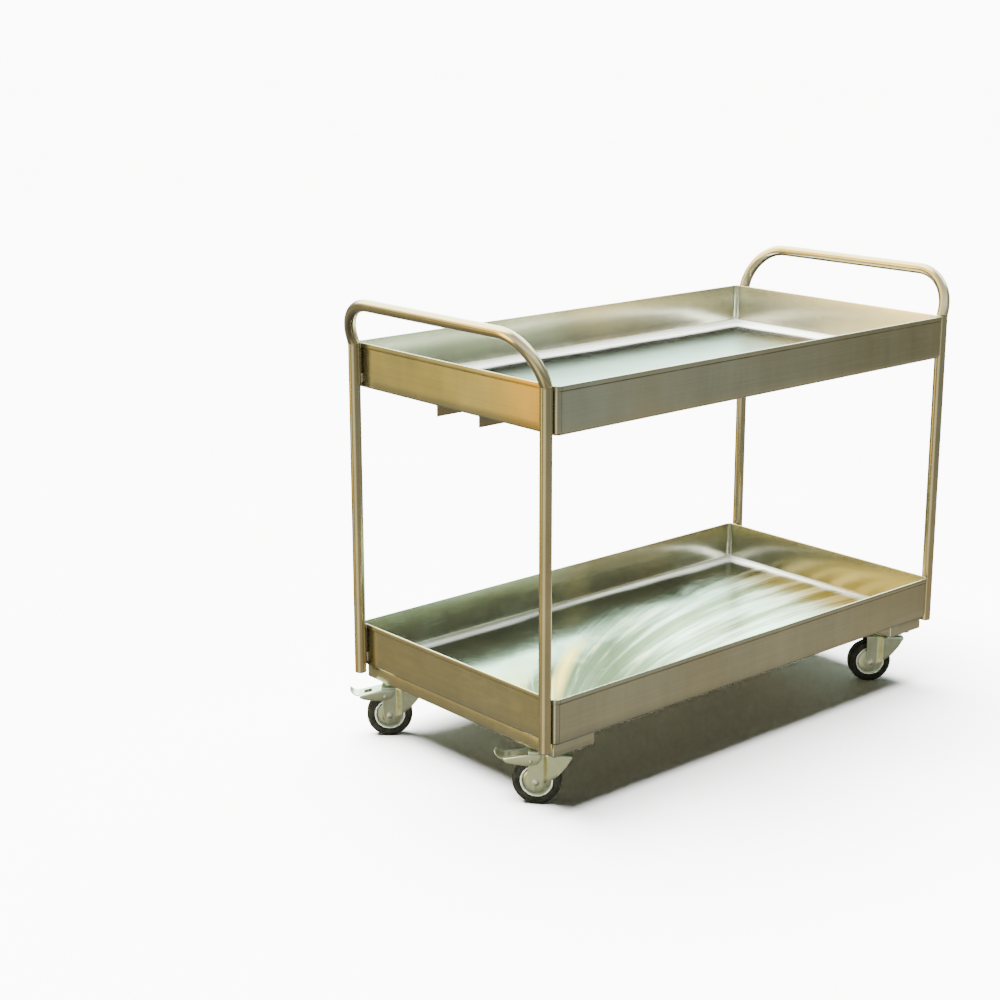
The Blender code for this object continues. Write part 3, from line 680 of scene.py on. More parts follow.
def rounded_rectangle(length, width, radius, z, corner_steps, long_steps, short_steps):
    """Points of a rectangle with rounded corners, anticlockwise, evenly spread on its sides."""
    def on_corner(quarter, share):
        sx = 1 if quarter % 4 in (0, 3) else -1
        sy = 1 if quarter % 4 in (0, 1) else -1
        hub = Vector((sx * (length / 2 - radius), sy * (width / 2 - radius), z))
        angle = (quarter + share) * TAU / 4
        return hub + Vector((cos(angle), sin(angle), 0)) * radius

    ring = []
    for quarter in range(4):
        ring += [on_corner(quarter, step / corner_steps) for step in range(corner_steps + 1)]
        start, end = ring[-1], on_corner(quarter + 1, 0)
        steps = long_steps if quarter in (0, 2) else short_steps
        ring += [start.lerp(end, step / steps) for step in range(1, steps)]
    return ring


def tray_profile():
    """(inset, height) of a tray's section: underside, wall, hem, inner wall, cove, floor."""
    outer = rounded([(0.040, 0.0), (HEM_OUT, 0.0, BEND_R), (HEM_OUT, 0.05)], 5)[:-1]
    inside = HEM_OUT + TRAY_SHEET
    lip = TRAY_DEPTH - HEM_HEIGHT
    hem = rounded([
        (HEM_OUT, 0.05), (HEM_OUT, lip + 0.0022), (0.0011, lip + 0.0022), (0.0011, lip, 0.0004),
        (0.0, lip, 0.0005), (0.0, TRAY_DEPTH, 0.0013), (inside, TRAY_DEPTH, 0.0013),
        (inside, 0.05),
    ], 4)
    cove = rounded([(inside, 0.05), (inside, TRAY_SHEET, COVE_R), (0.040, TRAY_SHEET)], 8)[1:]
    walls_up = [(HEM_OUT, 0.022), (HEM_OUT, 0.036)]
    walls_down = [(inside, 0.036), (inside, 0.022)]
    under = [(0.290, 0.0), (0.200, 0.0), (0.120, 0.0), (0.070, 0.0)]
    floor = [(0.070, TRAY_SHEET), (0.105, TRAY_SHEET), (0.145, TRAY_SHEET),
             (0.190, TRAY_SHEET), (0.240, TRAY_SHEET), (0.290, TRAY_SHEET)]
    return under + outer + walls_up + hem + walls_down + cove + floor


def make_tray(node, rim_z, seed, sheet_look, floor_look):
    long_steps, short_steps, corner_steps = 40, 22, 7
    base = rim_z - TRAY_DEPTH
    rings = []
    inner = False
    for inset, z in tray_profile():
        radius = max(TRAY_CORNER_R - inset, TRAY_CORNER_R - HEM_OUT - TRAY_SHEET)
        inner = inner or (inset > HEM_OUT and z > NEAR_RIM)
        floor_share = min(max((inset - SAG_FROM) / SAG_RUN, 0.0), 1.0) if inner else 0.0
        ring = []
        for x, y, height in rounded_rectangle(TRAY_LENGTH - 2 * inset, TRAY_WIDTH - 2 * inset,
                                              radius, z, corner_steps, long_steps, short_steps):
            # Sheets settle between their folds: walls bow a little, floors more.
            bow_share = max(0.0, 1 - abs(height - BOW_HEIGHT) / BOW_HEIGHT)
            bow = bow_share * WALL_BOW * wave(x * 1.3, y * 1.6 + 2, seed)
            sag = floor_share * (FLOOR_SAG * wave(x, y, seed) - FLOOR_SAG)
            out = Vector()
            if abs(y) > HALF_Y - ON_WALL:
                out.y = copysign(bow, y)
            elif abs(x) > HALF_X - ON_WALL:
                out.x = copysign(bow, x)
            ring.append(Vector((x, y, height + base + sag)) + out)
        rings.append(ring)
    bm = loft(rings, caps=False)
    bm.verts.ensure_lookup_table()
    count = len(rings[0])
    for start in (0, len(bm.verts) - count):
        close_strip(bm, bm.verts[start:start + count], corner_steps, long_steps)
    bmesh.ops.recalc_face_normals(bm, faces=bm.faces)
    bm.normal_update()
    made = stand_in(node, lay_flat_uv(bm), sheet_look)
    made.data.materials.append(floor_look)
    made.data.materials.append(FOLD_HIGHLIGHT_SHEET)
    # Floor faces take the floor's finish, and the cove's rising faces the pale fold sheet, a painted
    # highlight.
    for face in made.data.polygons:
        if face.normal.z > LEVEL and face.center.z < base + FLOOR_TOP:
            face.material_index = 1
        elif face.normal.z > RISING and face.center.z < base + COVE_R + TRAY_SHEET:
            face.material_index = 2


def close_strip(bm, ring, corner_steps, long_steps):
    """Closes a long ring with faces across its width, pairing points along both long sides.

    A ring starts at the +X end of the +Y long side's corner arc, so that its mirror image in Y
    is the same list backwards.
    """
    upper = ring[corner_steps:corner_steps + long_steps + 1]
    mirrored = {round(v.co.x, 5): v for v in ring if v.co.y <= 0}
    lower = [mirrored[round(v.co.x, 5)] for v in upper]
    for i in range(long_steps):
        bm.faces.new((upper[i], upper[i + 1], lower[i + 1], lower[i]))
    for first, last in ((lower[0], upper[0]), (upper[-1], lower[-1])):
        start, stop = ring.index(first), ring.index(last) + 1
        bm.faces.new(ring[start:stop] if start < stop else ring[start:] + ring[:stop])


def make_pan(side, label):
    height = LOWER_RIM_Z - TRAY_DEPTH - GAP - PAN_BOTTOM_Z
    profile = rounded([
        (0.04, 0.0), (0.0, 0.0, 0.0035), (0.0, height, 0.0004), (PAN_SHEET, height, 0.0004),
        (PAN_SHEET, PAN_SHEET, 0.0018), (0.04, PAN_SHEET),
    ], 5)
    rings = []
    for inset, z in profile:
        ring = rounded_rectangle(PAN_LENGTH_X - 2 * inset, PAN_WIDTH_Y - 2 * inset,
                                 max(0.005 - inset, 0.003), PAN_BOTTOM_Z + z, 4, 4, 10)
        rings.append([point + Vector((side * PAN_X, 0, 0)) for point in ring])
    bm = lay_flat_uv(loft(rings))
    stand_in(f"caster_pan_{label}", bm, SHEET)


def make_stiffener(label, half_length, tray_bottom_z):
    half = CHANNEL_WIDTH / 2
    t = CHANNEL_SHEET
    outline = rounded([
        (-half, -CHANNEL_DEPTH, 0.0003), (-half, 0, 0.0028), (half, 0, 0.0028),
        (half, -CHANNEL_DEPTH, 0.0003), (half - t, -CHANNEL_DEPTH, 0.0003), (half - t, -t, 0.0014),
        (-half + t, -t, 0.0014), (-half + t, -CHANNEL_DEPTH, 0.0003),
    ], 3)
    top = tray_bottom_z - GAP
    rings = [[(x, y, z + top) for y, z in outline] for x in evenly(-half_length, half_length, 12)]
    stand_in(f"{label}_stiffener", lay_flat_uv(loft(rings)), MILL_PAINTED_SHADE)


# ---------------------------------------------------------------- tubes and welds

def tube_rings(path, flat, radius, start_normal, end_normal):
    """Rings along (centre, tangent) pairs in the plane with normal `flat`, ends cut on a plane."""
    rings = []
    for index, (centre, tangent) in enumerate(path):
        normal = tangent
        if index == 0:
            normal = start_normal
        if index == len(path) - 1:
            normal = end_normal
        across = tangent.cross(flat)
        ring = []
        for angle in round_angles(TUBE_SIDES):
            arm = (flat * cos(angle) + across * sin(angle)) * radius
            arm -= tangent * (arm.dot(normal) / tangent.dot(normal))
            ring.append(centre + arm)
        rings.append(ring)
    return rings


def hollow_tube(path, flat, start_normal, end_normal):
    """A tube with its bore and slightly broken edges at both ends."""
    outer = tube_rings(path, flat, TUBE_R, start_normal, end_normal)
    inner = tube_rings(path, flat, TUBE_R - TUBE_WALL, start_normal, end_normal)
    return loft(outer + inner[::-1], along=True, loop=True)


def lean_direction(end):
    return Vector((end * sin(HANDLE_LEAN), 0, cos(HANDLE_LEAN)))


def mitre_normal(end):
    return (lean_direction(end) + UP).normalized()


def make_leg(corner, sx, sy):
    heights = evenly(LEG_BOTTOM_Z, UPPER_RIM_Z - GAP / 2, 8)
    path = [(Vector((sx * LEG_X, sy * LEG_Y, z)), UP) for z in heights]
    bm = hollow_tube(path, Vector((1, 0, 0)), UP, mitre_normal(sx))
    stand_in(f"leg_{corner}", bm, TUBE, sharp=50)
    r = TUBE_R
    cap = rounded([
        (0.004, -0.002), (r, -0.002, 0.0012), (r, 0, 0.0003), (r - 0.0016, 0),
        (r - 0.0016, 0.010, 0.0008), (0.004, 0.010),
    ], 4)
    spot = Matrix.Translation((sx * LEG_X, sy * LEG_Y, LEG_BOTTOM_Z - GAP))
    stand_in(f"leg_cap_{corner}", turned(cap, 32), PLASTIC, spot)


def handle_path(end):
    up = lean_direction(end)
    across = Vector((0, 1, 0))
    base = Vector((end * LEG_X, 0, UPPER_RIM_Z)) + up * (GAP / 2)
    shoulder = HANDLE_RISE - HANDLE_BEND_R
    path = [(base - across * LEG_Y, up)]
    for side, first_angle in ((-1, TAU / 2), (1, TAU / 4)):
        hub = base + up * shoulder + across * (side * (LEG_Y - HANDLE_BEND_R))
        for step in range(BEND_STEPS + 1):
            angle = first_angle - step / BEND_STEPS * TAU / 4
            arm = across * cos(angle) + up * sin(angle)
            tangent = across * sin(angle) - up * cos(angle)
            path.append((hub + arm * HANDLE_BEND_R, tangent))
        if side < 0:
            start, last = path[-1][0], base + up * HANDLE_RISE
            path += [(start.lerp(last * 2 - start, share), across) for share in (0.25, 0.5, 0.75)]
    path.append((base + across * LEG_Y, -up))
    return path


def make_handle(end, label):
    up = lean_direction(end)
    mitre = mitre_normal(end)
    bm = hollow_tube(handle_path(end), Vector((0, 1, 0)).cross(up), mitre, mitre)
    stand_in(f"handle_{label}", bm, TUBE, sharp=50)


def bead(points, radius, swell=0.16):
    """A rippled weld bead along a line of points, tapered at its ends."""
    line = [Vector(p) for p in points]
    lengths = [(b - a).length for a, b in zip(line, line[1:])]
    total = sum(lengths)
    steps = max(6, int(total / RIPPLE * 3))
    rings = []
    for step in range(steps + 1):
        share = step / steps
        rest = share * total
        index = 0
        while index < len(lengths) - 1 and rest > lengths[index]:
            rest -= lengths[index]
            index += 1
        a, b = line[index], line[index + 1]
        centre = a.lerp(b, min(rest / max(lengths[index], 1e-9), 1.0))
        tangent = (b - a).normalized()
        guide = UP if abs(tangent.z) < 0.9 else Vector((1, 0, 0))
        side = tangent.cross(guide).normalized()
        other = side.cross(tangent)
        end_taper = sqrt(max(1 - (2 * share - 1) ** 8, 0.04))
        beat = 1 - swell * abs(sin(share * total / RIPPLE * pi))
        r = radius * end_taper * beat
        rings.append([centre + (side * cos(a) + other * sin(a)) * r
                      for a in round_angles(BEAD_SIDES)])
    return loft(rings, along=True)


def join(parts):
    """Puts several closed meshes into one."""
    whole = bmesh.new()
    for bm in parts:
        mesh = to_mesh("part", bm)
        whole.from_mesh(mesh)
        bpy.data.meshes.remove(mesh)
    return whole


def make_mitre_weld(corner, sx, sy):
    """A ground weld round the joint of leg and handle, barely proud of the tubes."""
    normal = mitre_normal(sx)
    centre = Vector((sx * LEG_X, sy * LEG_Y, UPPER_RIM_Z))
    rings = []
    for angle in round_angles(120):
        outward = Vector((cos(angle), sin(angle), 0))
        arm = outward * (TUBE_R - 0.0003)
        arm.z = -(arm.x * normal.x + arm.y * normal.y) / normal.z
        spot = centre + arm
        r = 0.0009 + 0.00008 * sin(angle * 24) + 0.00010 * sin(angle * 7 + sx)
        rings.append([spot + (outward * cos(a) * 0.85 + UP * sin(a) * 1.25) * r
                      for a in round_angles(BEAD_SIDES)])
    bm = loft(rings, along=True, loop=True)
    piece(f"mitre_weld_{corner}", bm, GROUND_WELD, "frame")


def make_leg_welds(corner, sx, sy):
    """Short fillets between a leg and both trays, on the leg's inner side and at the rim."""
    parts = []
    y = sy * (LEG_Y - 0.0062)
    for rim in (UPPER_RIM_Z, LOWER_RIM_Z):
        x = sx * (HALF_X + 0.0006)
        parts.append(bead([(x, y, rim - 0.0015), (x, y, rim - 0.0115)], 0.0017))
        low = rim - TRAY_DEPTH
        x = sx * (HALF_X - 0.0009)
        parts.append(bead([(x, y, low + 0.010), (x, y, low + 0.030)], 0.0023))
        # A blob where the rim's corner meets the leg.
        crest = ((-0.0004, -0.0065, 0.0008), (0.0006, 0.0, 0.0016), (-0.0008, 0.0060, 0.0010))
        parts.append(bead([(sx * (HALF_X + out), sy * (LEG_Y + along), rim - down)
                           for out, along, down in crest], 0.0019, swell=0.22))
    piece(f"leg_welds_{corner}", join(parts), WELD, "frame")


def make_under_welds():
    """Stitch welds of the pans and stiffeners, under the trays."""
    parts = []
    low, upper = (rim - TRAY_DEPTH - 0.0008 for rim in (LOWER_RIM_Z, UPPER_RIM_Z))
    for end in (-1, 1):
        x = end * (PAN_X - PAN_LENGTH_X / 2 - 0.0006)
        for y in (-0.27, -0.17, 0.17, 0.27):
            parts.append(bead([(x, y - STITCH_HALF, low), (x, y + STITCH_HALF, low)], 0.0019))
    for z, half in ((upper, UPPER_CHANNEL_HALF), (low, LOWER_CHANNEL_HALF)):
        for side in (-1, 1):
            y = side * (CHANNEL_WIDTH / 2 + 0.0003)
            for x in evenly(-half + 0.03, half - 0.03, 4):
                parts.append(bead([(x - STITCH_HALF, y, z), (x + STITCH_HALF, y, z)], 0.0018))
    piece("stitch_welds", join(parts), WELD, "frame")


# ---------------------------------------------------------------- casters
# The outlines of fork, pedal and block are (x, z), counted from the wheel's axle.

def smooth(share):
    share = min(max(share, 0.0), 1.0)
    return share * share * (3 - 2 * share)


def height_along(points, x):
    for (x0, z0), (x1, z1) in zip(points, points[1:]):
        if x <= x1:
            return z0 + (z1 - z0) * (x - x0) / (x1 - x0)
    return points[-1][1]


def fork_half(x):
    start, end = FORK_STEP_X
    return FORK_REAR_HALF + (FORK_FRONT_HALF - FORK_REAR_HALF) * smooth((x - start) / (end - start))


def fold_arc(half, top, radius, steps):
    """A fold's quarter circle, from a side wall at `half` up to a level sheet at `top`."""
    return [(half - radius + radius * cos(a), top - radius + radius * sin(a))
            for a in evenly(0, TAU / 4, steps)]


def make_fork(corner, body, spot, brakes):
    """Pressed fork with a drooping crown, a joggle across each cheek and rounded folds."""
    lobe, rear, fold = LOBE_R[brakes], CHEEK_BACK[brakes], FORK_FOLD_R

    def under_lobe(x):
        return -sqrt(lobe ** 2 - x ** 2)

    edge = rounded([(LOBE_FRONT, under_lobe(LOBE_FRONT)), *FORK_EDGE], 4)
    stations = sorted({round(x, 5) for x in (
        evenly(rear, LOBE_FRONT, 10) + [x for x, z in edge] + evenly(*FORK_STEP_X, 6))})
    rows = []
    for x in stations:
        half = fork_half(x)
        bottom = under_lobe(x) if x <= LOBE_FRONT else height_along(edge, x)
        droop = CROWN_DROOP * (1 - smooth(min(1.0, (stations[-1] - x) / DROOP_RUN)))
        top = CROWN_Z - AXLE_Z - droop
        wall = [(half, z) for z in evenly(bottom, top - fold, 5)[:-1]]
        middle = [((half - fold) * s / 3, top) for s in (2, 1, 0)]
        right = wall + fold_arc(half, top, fold, 6) + middle
        section = [(-y, z) for y, z in right] + right[::-1][1:]
        rows.append([(x - TRAIL, y, z + AXLE_Z) for y, z in section])
    bm = loft(rows, caps=False, open_rings=True)
    made = stand_in(f"fork_{corner}", bm, ZINC, spot, body)
    face_outwards(made, spot @ Vector((-TRAIL, 0, AXLE_Z + 0.03)))
    solidify(made, FORK_SHEET, FORK_BEVEL)


def face_outwards(made, inside):
    """Turns an open sheet's normals away from a point that it wraps round."""
    mesh = made.data
    total = sum((p.center - inside).dot(p.normal) * p.area for p in mesh.polygons)
    if total < 0:
        mesh.flip_normals()


def make_axle(corner, body, spot):
    """Domed axle head with a pressed ring, and a hex nut with the bolt's end on the far side."""
    face = FORK_REAR_HALF + 0.0001
    head = rounded([
        (0.0035, -0.0172), (0.0035, -face), (0.0075, -face, 0.0002),
        (0.0075, -face - 0.0012, 0.0005), (0.0052, -face - 0.0014, 0.0004),
        (0.0048, -face - 0.0036, 0.0014), (0.0022, -face - 0.0046, 0.002),
        (0.0006, -face - 0.0044),
    ], 3)
    tip = rounded([
        (0.0036, 0.0172), (0.0036, face + 0.0078, 0.0002), (0.0030, face + 0.0086, 0.0003),
        (0.0006, face + 0.0086),
    ], 3)
    bolt = join([turned(head, 40, "Y"), turned(tip, 24, "Y")])
    stand_in(f"axle_bolt_{corner}", bolt, BRIGHT_ZINC, spot, body)
    nut = [(0.0038, face), (0.0072, face), (0.0072, face + 0.0055), (0.0064, face + 0.0064),
           (0.0045, face + 0.0064), (0.0038, face + 0.0058)]
    bm = turned(nut, 36, "Y", loop=True, radius_at=hexed(0.0130, 0.0068))
    stand_in(f"axle_nut_{corner}", bm, BRIGHT_ZINC, spot, body)


def mirror_section(section):
    return [(r, -y) for r, y in section] + [(r, y) for r, y in reversed(section)]


def make_wheel(corner, body, spot):
    """Pressed wheel centre with hub, dished disc, groove and rolled rim, and the tyre."""
    disc = rounded([
        (0.0064, 0.0165), (0.0100, 0.0165, 0.0008), (0.0118, 0.0152, 0.0010),
        (0.0165, 0.0150, 0.004), (0.0238, 0.0136, 0.008), (0.0276, 0.0112, 0.004),
        (0.0296, 0.0090, 0.0008), (0.0303, 0.0104, 0.0012), (0.0306, 0.0137, 0.0016),
        (0.0338, 0.0137, 0.0016), (0.0338, 0.0108), (0.0300, 0.0106),
    ], 5)
    bm = turned(mirror_section(disc), 72, "Y", loop=True)
    wheel = stand_in(f"wheel_centre_{corner}", bm, ZINC, spot, body)
    # The rolled rim takes the paler zinc: a painted highlight.
    wheel.data.materials.append(RIM_ZINC_PAINTED_HIGHLIGHT)
    hub = spot.translation
    across = (spot.to_3x3() @ Vector((0, 1, 0))).normalized()
    for face in wheel.data.polygons:
        arm = Vector(face.center) - hub
        if (arm - across * arm.dot(across)).length > BRIGHT_FROM_R:
            face.material_index = 1
    side = rounded([
        (0.0302, 0.0102), (0.0341, 0.0102), (0.0345, 0.0128, 0.0010), (0.0365, 0.0140, 0.002),
        (0.0420, 0.0152, 0.008), (0.0470, 0.0145, 0.005), (WHEEL_R, 0.0105, 0.0055),
        (WHEEL_R + 0.00001, 0.0040),
    ], 5)
    side = [(min(r, WHEEL_R), y) for r, y in side]
    bm = turned(mirror_section(side), 96, "Y", loop=True)
    stand_in(f"tyre_{corner}", bm, TYRE, spot, body, sharp=50)


def make_pedal(corner, body, spot):
    """Brake pedal: channel sides on the rivets, a windowed top and a scooped toe."""
    web_half = PEDAL_HALF - PEDAL_FOLD_R
    window_start, window_end, window_half = WINDOW
    window = window_half / web_half
    spans = [-1.0, -0.72, -window, -0.2, 0.2, window, 0.72, 1.0]
    side_count = PEDAL_FOLD_STEPS + 2
    heel_x, heel_z = PEDAL_LINE[0]
    toe_xs, grid = [], []
    for step in range(TOE_STEPS, 0, -1):
        share = step / TOE_STEPS
        x = heel_x - TOE_CURL_R * sin(TOE_CURL * share)
        z = heel_z + TOE_CURL_R * (1 - cos(TOE_CURL * share))
        half = web_half * sqrt(max(1 - 0.86 * share ** 3.2, 0.02))
        top = [(x + TOE_DISH * (1 - u * u) * 0.5, u * half, z - TOE_DISH * (1 - abs(u)) * 0.4)
               for u in spans]
        toe_xs.append(x)
        grid.append([top[0]] * side_count + top + [top[-1]] * side_count)
    body_xs = sorted({round(x, 5) for x in (
        [x for x, z in PEDAL_LOWER] + evenly(heel_x, PEDAL_FRONT, 14))})
    for x in body_xs:
        z = height_along(PEDAL_LINE, x)
        arc = fold_arc(PEDAL_HALF, z, PEDAL_FOLD_R, PEDAL_FOLD_STEPS)
        left = [(x, -PEDAL_HALF, height_along(PEDAL_LOWER, x))] + [(x, -y, h) for y, h in arc]
        right = [(x, -y, h) for x, y, h in left[::-1]]
        grid.append(left + [(x, u * web_half, z) for u in spans] + right)
    bm = bmesh.new()
    layer = bm.loops.layers.uv.new("UVMap")
    verts = [[bm.verts.new((x - TRAIL, y, z + AXLE_Z)) for x, y, z in row] for row in grid]
    top_end = side_count + len(spans) - 1
    xs = toe_xs + body_xs
    near = 1e-5
    for i, (x, next_x) in enumerate(zip(xs, xs[1:])):
        # The toe has no side walls, the mouth has no top, and the window is a hole in it.
        open_columns = ()
        if i < len(toe_xs):
            open_columns = (*range(side_count), *range(top_end, len(grid[0])))
        elif x >= PEDAL_LINE[1][0] - near:
            open_columns = range(side_count - 1, top_end + 1)
        elif window_start - near <= x and next_x <= window_end + near:
            open_columns = range(side_count + 2, side_count + 5)
        for j in range(len(grid[0]) - 1):
            corners = (verts[i][j], verts[i + 1][j], verts[i + 1][j + 1], verts[i][j + 1])
            if j in open_columns or len({tuple(v.co) for v in corners}) < 4:
                continue
            for loop in bm.faces.new(corners).loops:
                loop[layer].uv = (loop.vert.co.x, loop.vert.co.y + loop.vert.co.z)
    bmesh.ops.remove_doubles(bm, verts=bm.verts, dist=1e-6)
    loose = [v for v in bm.verts if not v.link_faces]
    bmesh.ops.delete(bm, geom=loose, context="VERTS")
    bmesh.ops.recalc_face_normals(bm, faces=bm.faces)
    made = stand_in(f"brake_pedal_{corner}", bm, ZINC, spot, body)
    face_outwards(made, spot @ Vector((-TRAIL - 0.03, 0, AXLE_Z + 0.035)))
    solidify(made, PEDAL_SHEET, PEDAL_BEVEL)


def make_shoe(corner, body, spot):
    """Rubber block under the pedal's top, hollowed to the tyre's curve."""
    back, front = SHOE_X
    reach = WHEEL_R + SHOE_TO_TYRE
    under = [(x, sqrt(reach ** 2 - x ** 2)) for x in evenly(back, front, 8)]
    rest = PEDAL_SHEET + 2 * GAP
    outline = under + [(x, height_along(PEDAL_LINE, x) - rest) for x in (front, back)]
    rings = [[(x - TRAIL, y, z + AXLE_Z) for x, z in outline]
             for y in (-SHOE_HALF, 0, SHOE_HALF)]
    stand_in(f"brake_shoe_{corner}", lay_flat_uv(loft(rings)), TYRE, spot, body)


def make_rivets(corner, body, spot):
    out = PEDAL_HALF + 0.0001
    line = rounded([
        (0.0024, 0.0170), (0.0024, out), (0.0040, out, 0.0003), (0.0036, out + 0.0013, 0.0016),
        (0.0006, out + 0.0020),
    ], 4)
    pivot = spot @ Matrix.Translation((PIVOT[0] - TRAIL, 0, PIVOT[1] + AXLE_Z))
    for side, label in ((-1, "outer"), (1, "inner")):
        bm = turned([(r, side * y) for r, y in line], 28, "Y")
        stand_in(f"pedal_rivet_{label}_{corner}", bm, BRIGHT_ZINC, pivot, body)


def make_station(corner, station):
    """Top plate, swivel race, kingpin and the four plate bolts of one caster."""
    top = PAN_BOTTOM_Z - GAP
    low = top - PLATE_THICK
    profile = rounded([(0.030, low), (0, low, 0.0006), (0, top, 0.0006), (0.030, top)], 2)
    rings = [rounded_rectangle(PLATE_X - 2 * i, PLATE_Y - 2 * i, max(0.009 - i, 0.004), z, 5, 3, 3)
             for i, z in profile]
    stand_in(f"caster_plate_{corner}", lay_flat_uv(loft(rings)), ZINC, station)
    race_low = CROWN_Z + 0.0006
    race_high = low - GAP
    race = rounded([
        (0.009, race_low), (0.0295, race_low, 0.0014), (0.0318, race_low + 0.0030, 0.0014),
        (0.0300, race_low + 0.0050, 0.0008), (0.0318, race_low + 0.0072, 0.0014),
        (0.0270, race_high, 0.001), (0.009, race_high),
    ], 4)
    stand_in(f"swivel_race_{corner}", turned(race, 64, loop=True), ZINC, station)
    pin = rounded([
        (0.001, 0.106), (0.0075, 0.106, 0.0006), (0.009, 0.108, 0.0006), (0.009, 0.1136, 0.0003),
        (0.006, 0.1136), (0.006, race_high), (0.001, race_high),
    ], 3)
    stand_in(f"kingpin_{corner}", turned(pin, 36), BRIGHT_ZINC, station)
    under = low - 0.0014
    washer = rounded([
        (0.004, low), (0.0078, low, 0.0003), (0.0078, under, 0.0003), (0.004, under),
    ], 2)
    head = [(0.0070, under), (0.0070, under - 0.0042), (0.0061, under - 0.0050),
            (0.0030, under - 0.0050)]
    thread = [(0.0038, under - 0.0048), (0.0038, under - 0.0062), (0.0032, under - 0.0068),
              (0.0008, under - 0.0068)]
    bolts = []
    for sx, sy in ((-1, -1), (-1, 1), (1, -1), (1, 1)):
        bolt = [turned(washer, 32), turned(head, 36, radius_at=hexed(0.0130, 0.0065)),
                turned(thread, 24)]
        for bm in bolt:
            spot = (sx * PLATE_HOLE_X / 2, sy * PLATE_HOLE_Y / 2, 0)
            bmesh.ops.translate(bm, verts=bm.verts, vec=spot)
        bolts += bolt
    piece(f"plate_bolts_{corner}", join(bolts), BRIGHT_ZINC, "frame",
          spot=station)


def make_caster(corner, sx, sy, turn, brakes):
    station = Matrix.Translation((sx * CASTER_X, sy * CASTER_Y, 0))
    swivel = station @ Matrix.Rotation(turn, 4, "Z")
    axle = swivel @ Matrix.Translation((-TRAIL, 0, AXLE_Z))
    fork_body, brake_body = f"fork_body_{corner}", f"brake_body_{corner}"
    make_station(corner, station)
    make_fork(corner, fork_body, swivel, brakes)
    make_axle(corner, fork_body, axle)
    make_wheel(corner, f"wheel_body_{corner}", axle)
    if brakes:
        make_pedal(corner, brake_body, swivel)
        make_shoe(corner, brake_body, swivel)
        make_rivets(corner, fork_body, swivel)


# ---------------------------------------------------------------- studio

def make_floor():
    bpy.ops.mesh.primitive_plane_add(size=60.0)
    floor = bpy.context.object
    floor.name = "studio_floor"
    m = Nodes("studio_floor")
    clouds = m.spread(m.noise(m.coords("Object"), 1.4, 4.0), 0.3, 0.7)
    pale = m.blend(clouds, (0.86, 0.86, 0.855), (0.89, 0.89, 0.885))
    floor.data.materials.append(m.shade(Base_Color=pale, Roughness=0.9))
    floor.visible_glossy = False


def make_camera():
    data = bpy.data.cameras.new("camera")
    data.sensor_width = 36.0
    data.lens = 66.344
    data.shift_x = -0.01301
    data.shift_y = -0.03606
    camera = add_object("camera", data)
    camera.location = (-2.8814, -2.7944, 1.5836)
    camera.rotation_euler = (radians(75.839), 0.0, radians(-41.245))
    bpy.context.scene.camera = camera


def overhead_light():
    """One wide soft light from above and a little behind, like a softbox over the set."""
    data = bpy.data.lights.new("overhead", "SUN")
    data.energy = 42.0
    data.angle = radians(52)
    light = add_object("overhead", data)
    light.rotation_euler = (radians(-14), radians(-3), 0)
    light.visible_glossy = False


# What the polished metal sees: colours by height, then soft patches round a direction, each
# with its inner and outer half-angle in degrees.
SKY_RAMP = (
    (-1.00, (0.10, 0.10, 0.09)), (-0.55, (0.26, 0.25, 0.20)), (-0.34, (0.48, 0.42, 0.28)),
    (-0.19, (0.28, 0.30, 0.25)), (0.00, (0.36, 0.38, 0.31)), (0.15, (0.60, 0.64, 0.52)),
    (0.35, (1.1, 1.2, 1.0)), (0.60, (1.5, 1.55, 1.3)), (0.90, (1.0, 1.0, 0.86)),
)
SKY_PATCHES = (
    ((0.70, 0.05, 0.71), 20, 38, (4.4, 4.6, 4.2)),
    ((-0.05, 0.66, 0.72), 18, 36, (9.0, 7.8, 4.6)),
    ((0.66, 0.635, 0.40), 8, 27, (6.9, 10.8, 9.0)),
    ((0.71, -0.64, 0.34), 15, 31, (0.34, 0.38, 0.30)),
    ((-0.72, 0.60, 0.32), 7, 17, (4.0, 2.9, 0.6)),
    ((0.734, 0.661, 0.156), 3, 9, (11.0, 10.6, 5.8)),
    ((-0.88, -0.32, -0.34), 6, 32, (1.20, 1.12, 0.70)),
    ((0.66, -0.72, -0.215), 1, 9, (0.38, 0.40, 0.33)),
    ((-0.54, 0.82, -0.19), 4, 20, (0.36, 0.33, 0.15)),
    ((-0.74, 0.66, -0.217), 4, 13, (2.4, 1.65, 0.34)),
    ((-0.60, 0.71, -0.37), 2, 13, (0.36, 0.31, 0.18)),
    ((0.83, -0.53, -0.17), 2, 10, (0.25, 0.225, 0.14)),
    ((-0.88, 0.46, 0.10), 5, 14, (9.0, 6.4, 1.8)),
)


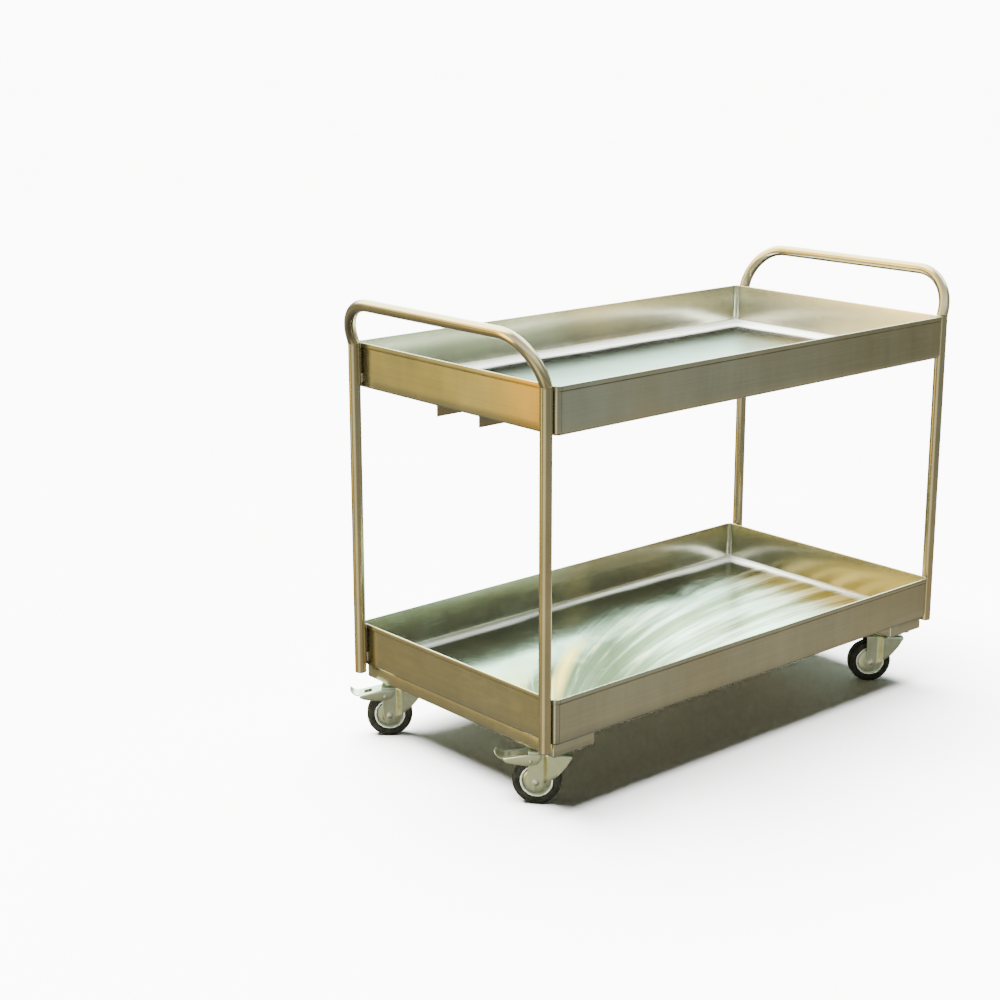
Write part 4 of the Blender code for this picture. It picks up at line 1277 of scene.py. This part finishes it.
def make_world():
    world = bpy.data.worlds.new("studio")
    bpy.context.scene.world = world
    m = Nodes("studio", world)
    world.cycles_visibility.diffuse = False
    direction = m.coords("Generated")
    brightest = max(max(colour) for height, colour in SKY_RAMP)
    ramp = m.add("ShaderNodeValToRGB", {"Fac": m.spread(m.split(direction)["Z"], -1.0, 1.0)})
    ramp.color_ramp.interpolation = "EASE"
    stops = ramp.color_ramp.elements
    while len(stops) < len(SKY_RAMP):
        stops.new(0.5)
    for stop, (height, colour) in zip(stops, SKY_RAMP):
        stop.position = (height + 1) / 2
        stop.color = (*(c / brightest for c in colour), 1.0)
    seen = m.vector("SCALE", {0: ramp.outputs["Color"], "Scale": brightest})
    for aim, inner, outer, colour in SKY_PATCHES:
        nearness = m.vector("DOT_PRODUCT", {0: direction, 1: Vector(aim).normalized()}, "Value")
        limits = [cos(radians(angle)) for angle in (outer, inner)]
        share = m.spread(nearness, *limits)
        share.node.interpolation_type = "SMOOTHSTEP"
        seen = m.blend(share, seen, colour)
    m.shade(Color=seen, Strength=1.0)


def make_backdrop():
    """A plain pale surround that only the camera sees, above the floor's edge."""
    bm = bmesh.new()
    bmesh.ops.create_uvsphere(bm, u_segments=48, v_segments=24, radius=45.0)
    mesh = to_mesh("studio_backdrop", bm)
    m = Nodes("studio_backdrop")
    mesh.materials.append(m.shade(Emission_Color=(1, 1, 0.995), Emission_Strength=11.0,
                                  Base_Color=(0, 0, 0)))
    backdrop = add_object("studio_backdrop", mesh)
    for kind in ("diffuse", "glossy", "transmission", "volume_scatter", "shadow"):
        setattr(backdrop, f"visible_{kind}", False)


make_tray("upper_tray", UPPER_RIM_Z, 0.4, END_REFLECTIONS_AND_SHADE_SHEET, FLOOR)
make_tray("lower_tray", LOWER_RIM_Z, 2.9, SHEET_PAINTED_SHADE, LOWER_FLOOR_POLISH_AND_REFLECTIONS)
make_stiffener("upper", UPPER_CHANNEL_HALF, UPPER_RIM_Z - TRAY_DEPTH)
make_stiffener("lower", LOWER_CHANNEL_HALF, LOWER_RIM_Z - TRAY_DEPTH)
for end, label in ((-1, "left"), (1, "right")):
    make_pan(end, label)
    make_handle(end, label)
for corner, (sx, sy, turn, brakes) in CORNERS.items():
    make_leg(corner, sx, sy)
    make_mitre_weld(corner, sx, sy)
    make_leg_welds(corner, sx, sy)
    make_caster(corner, sx, sy, turn, brakes)
    sleeve_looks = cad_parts[f"axle_sleeve_{corner}"].data.materials
    sleeve_looks.clear()
    sleeve_looks.append(BRIGHT_ZINC)
make_under_welds()
make_floor()
make_camera()
make_world()
make_backdrop()
overhead_light()
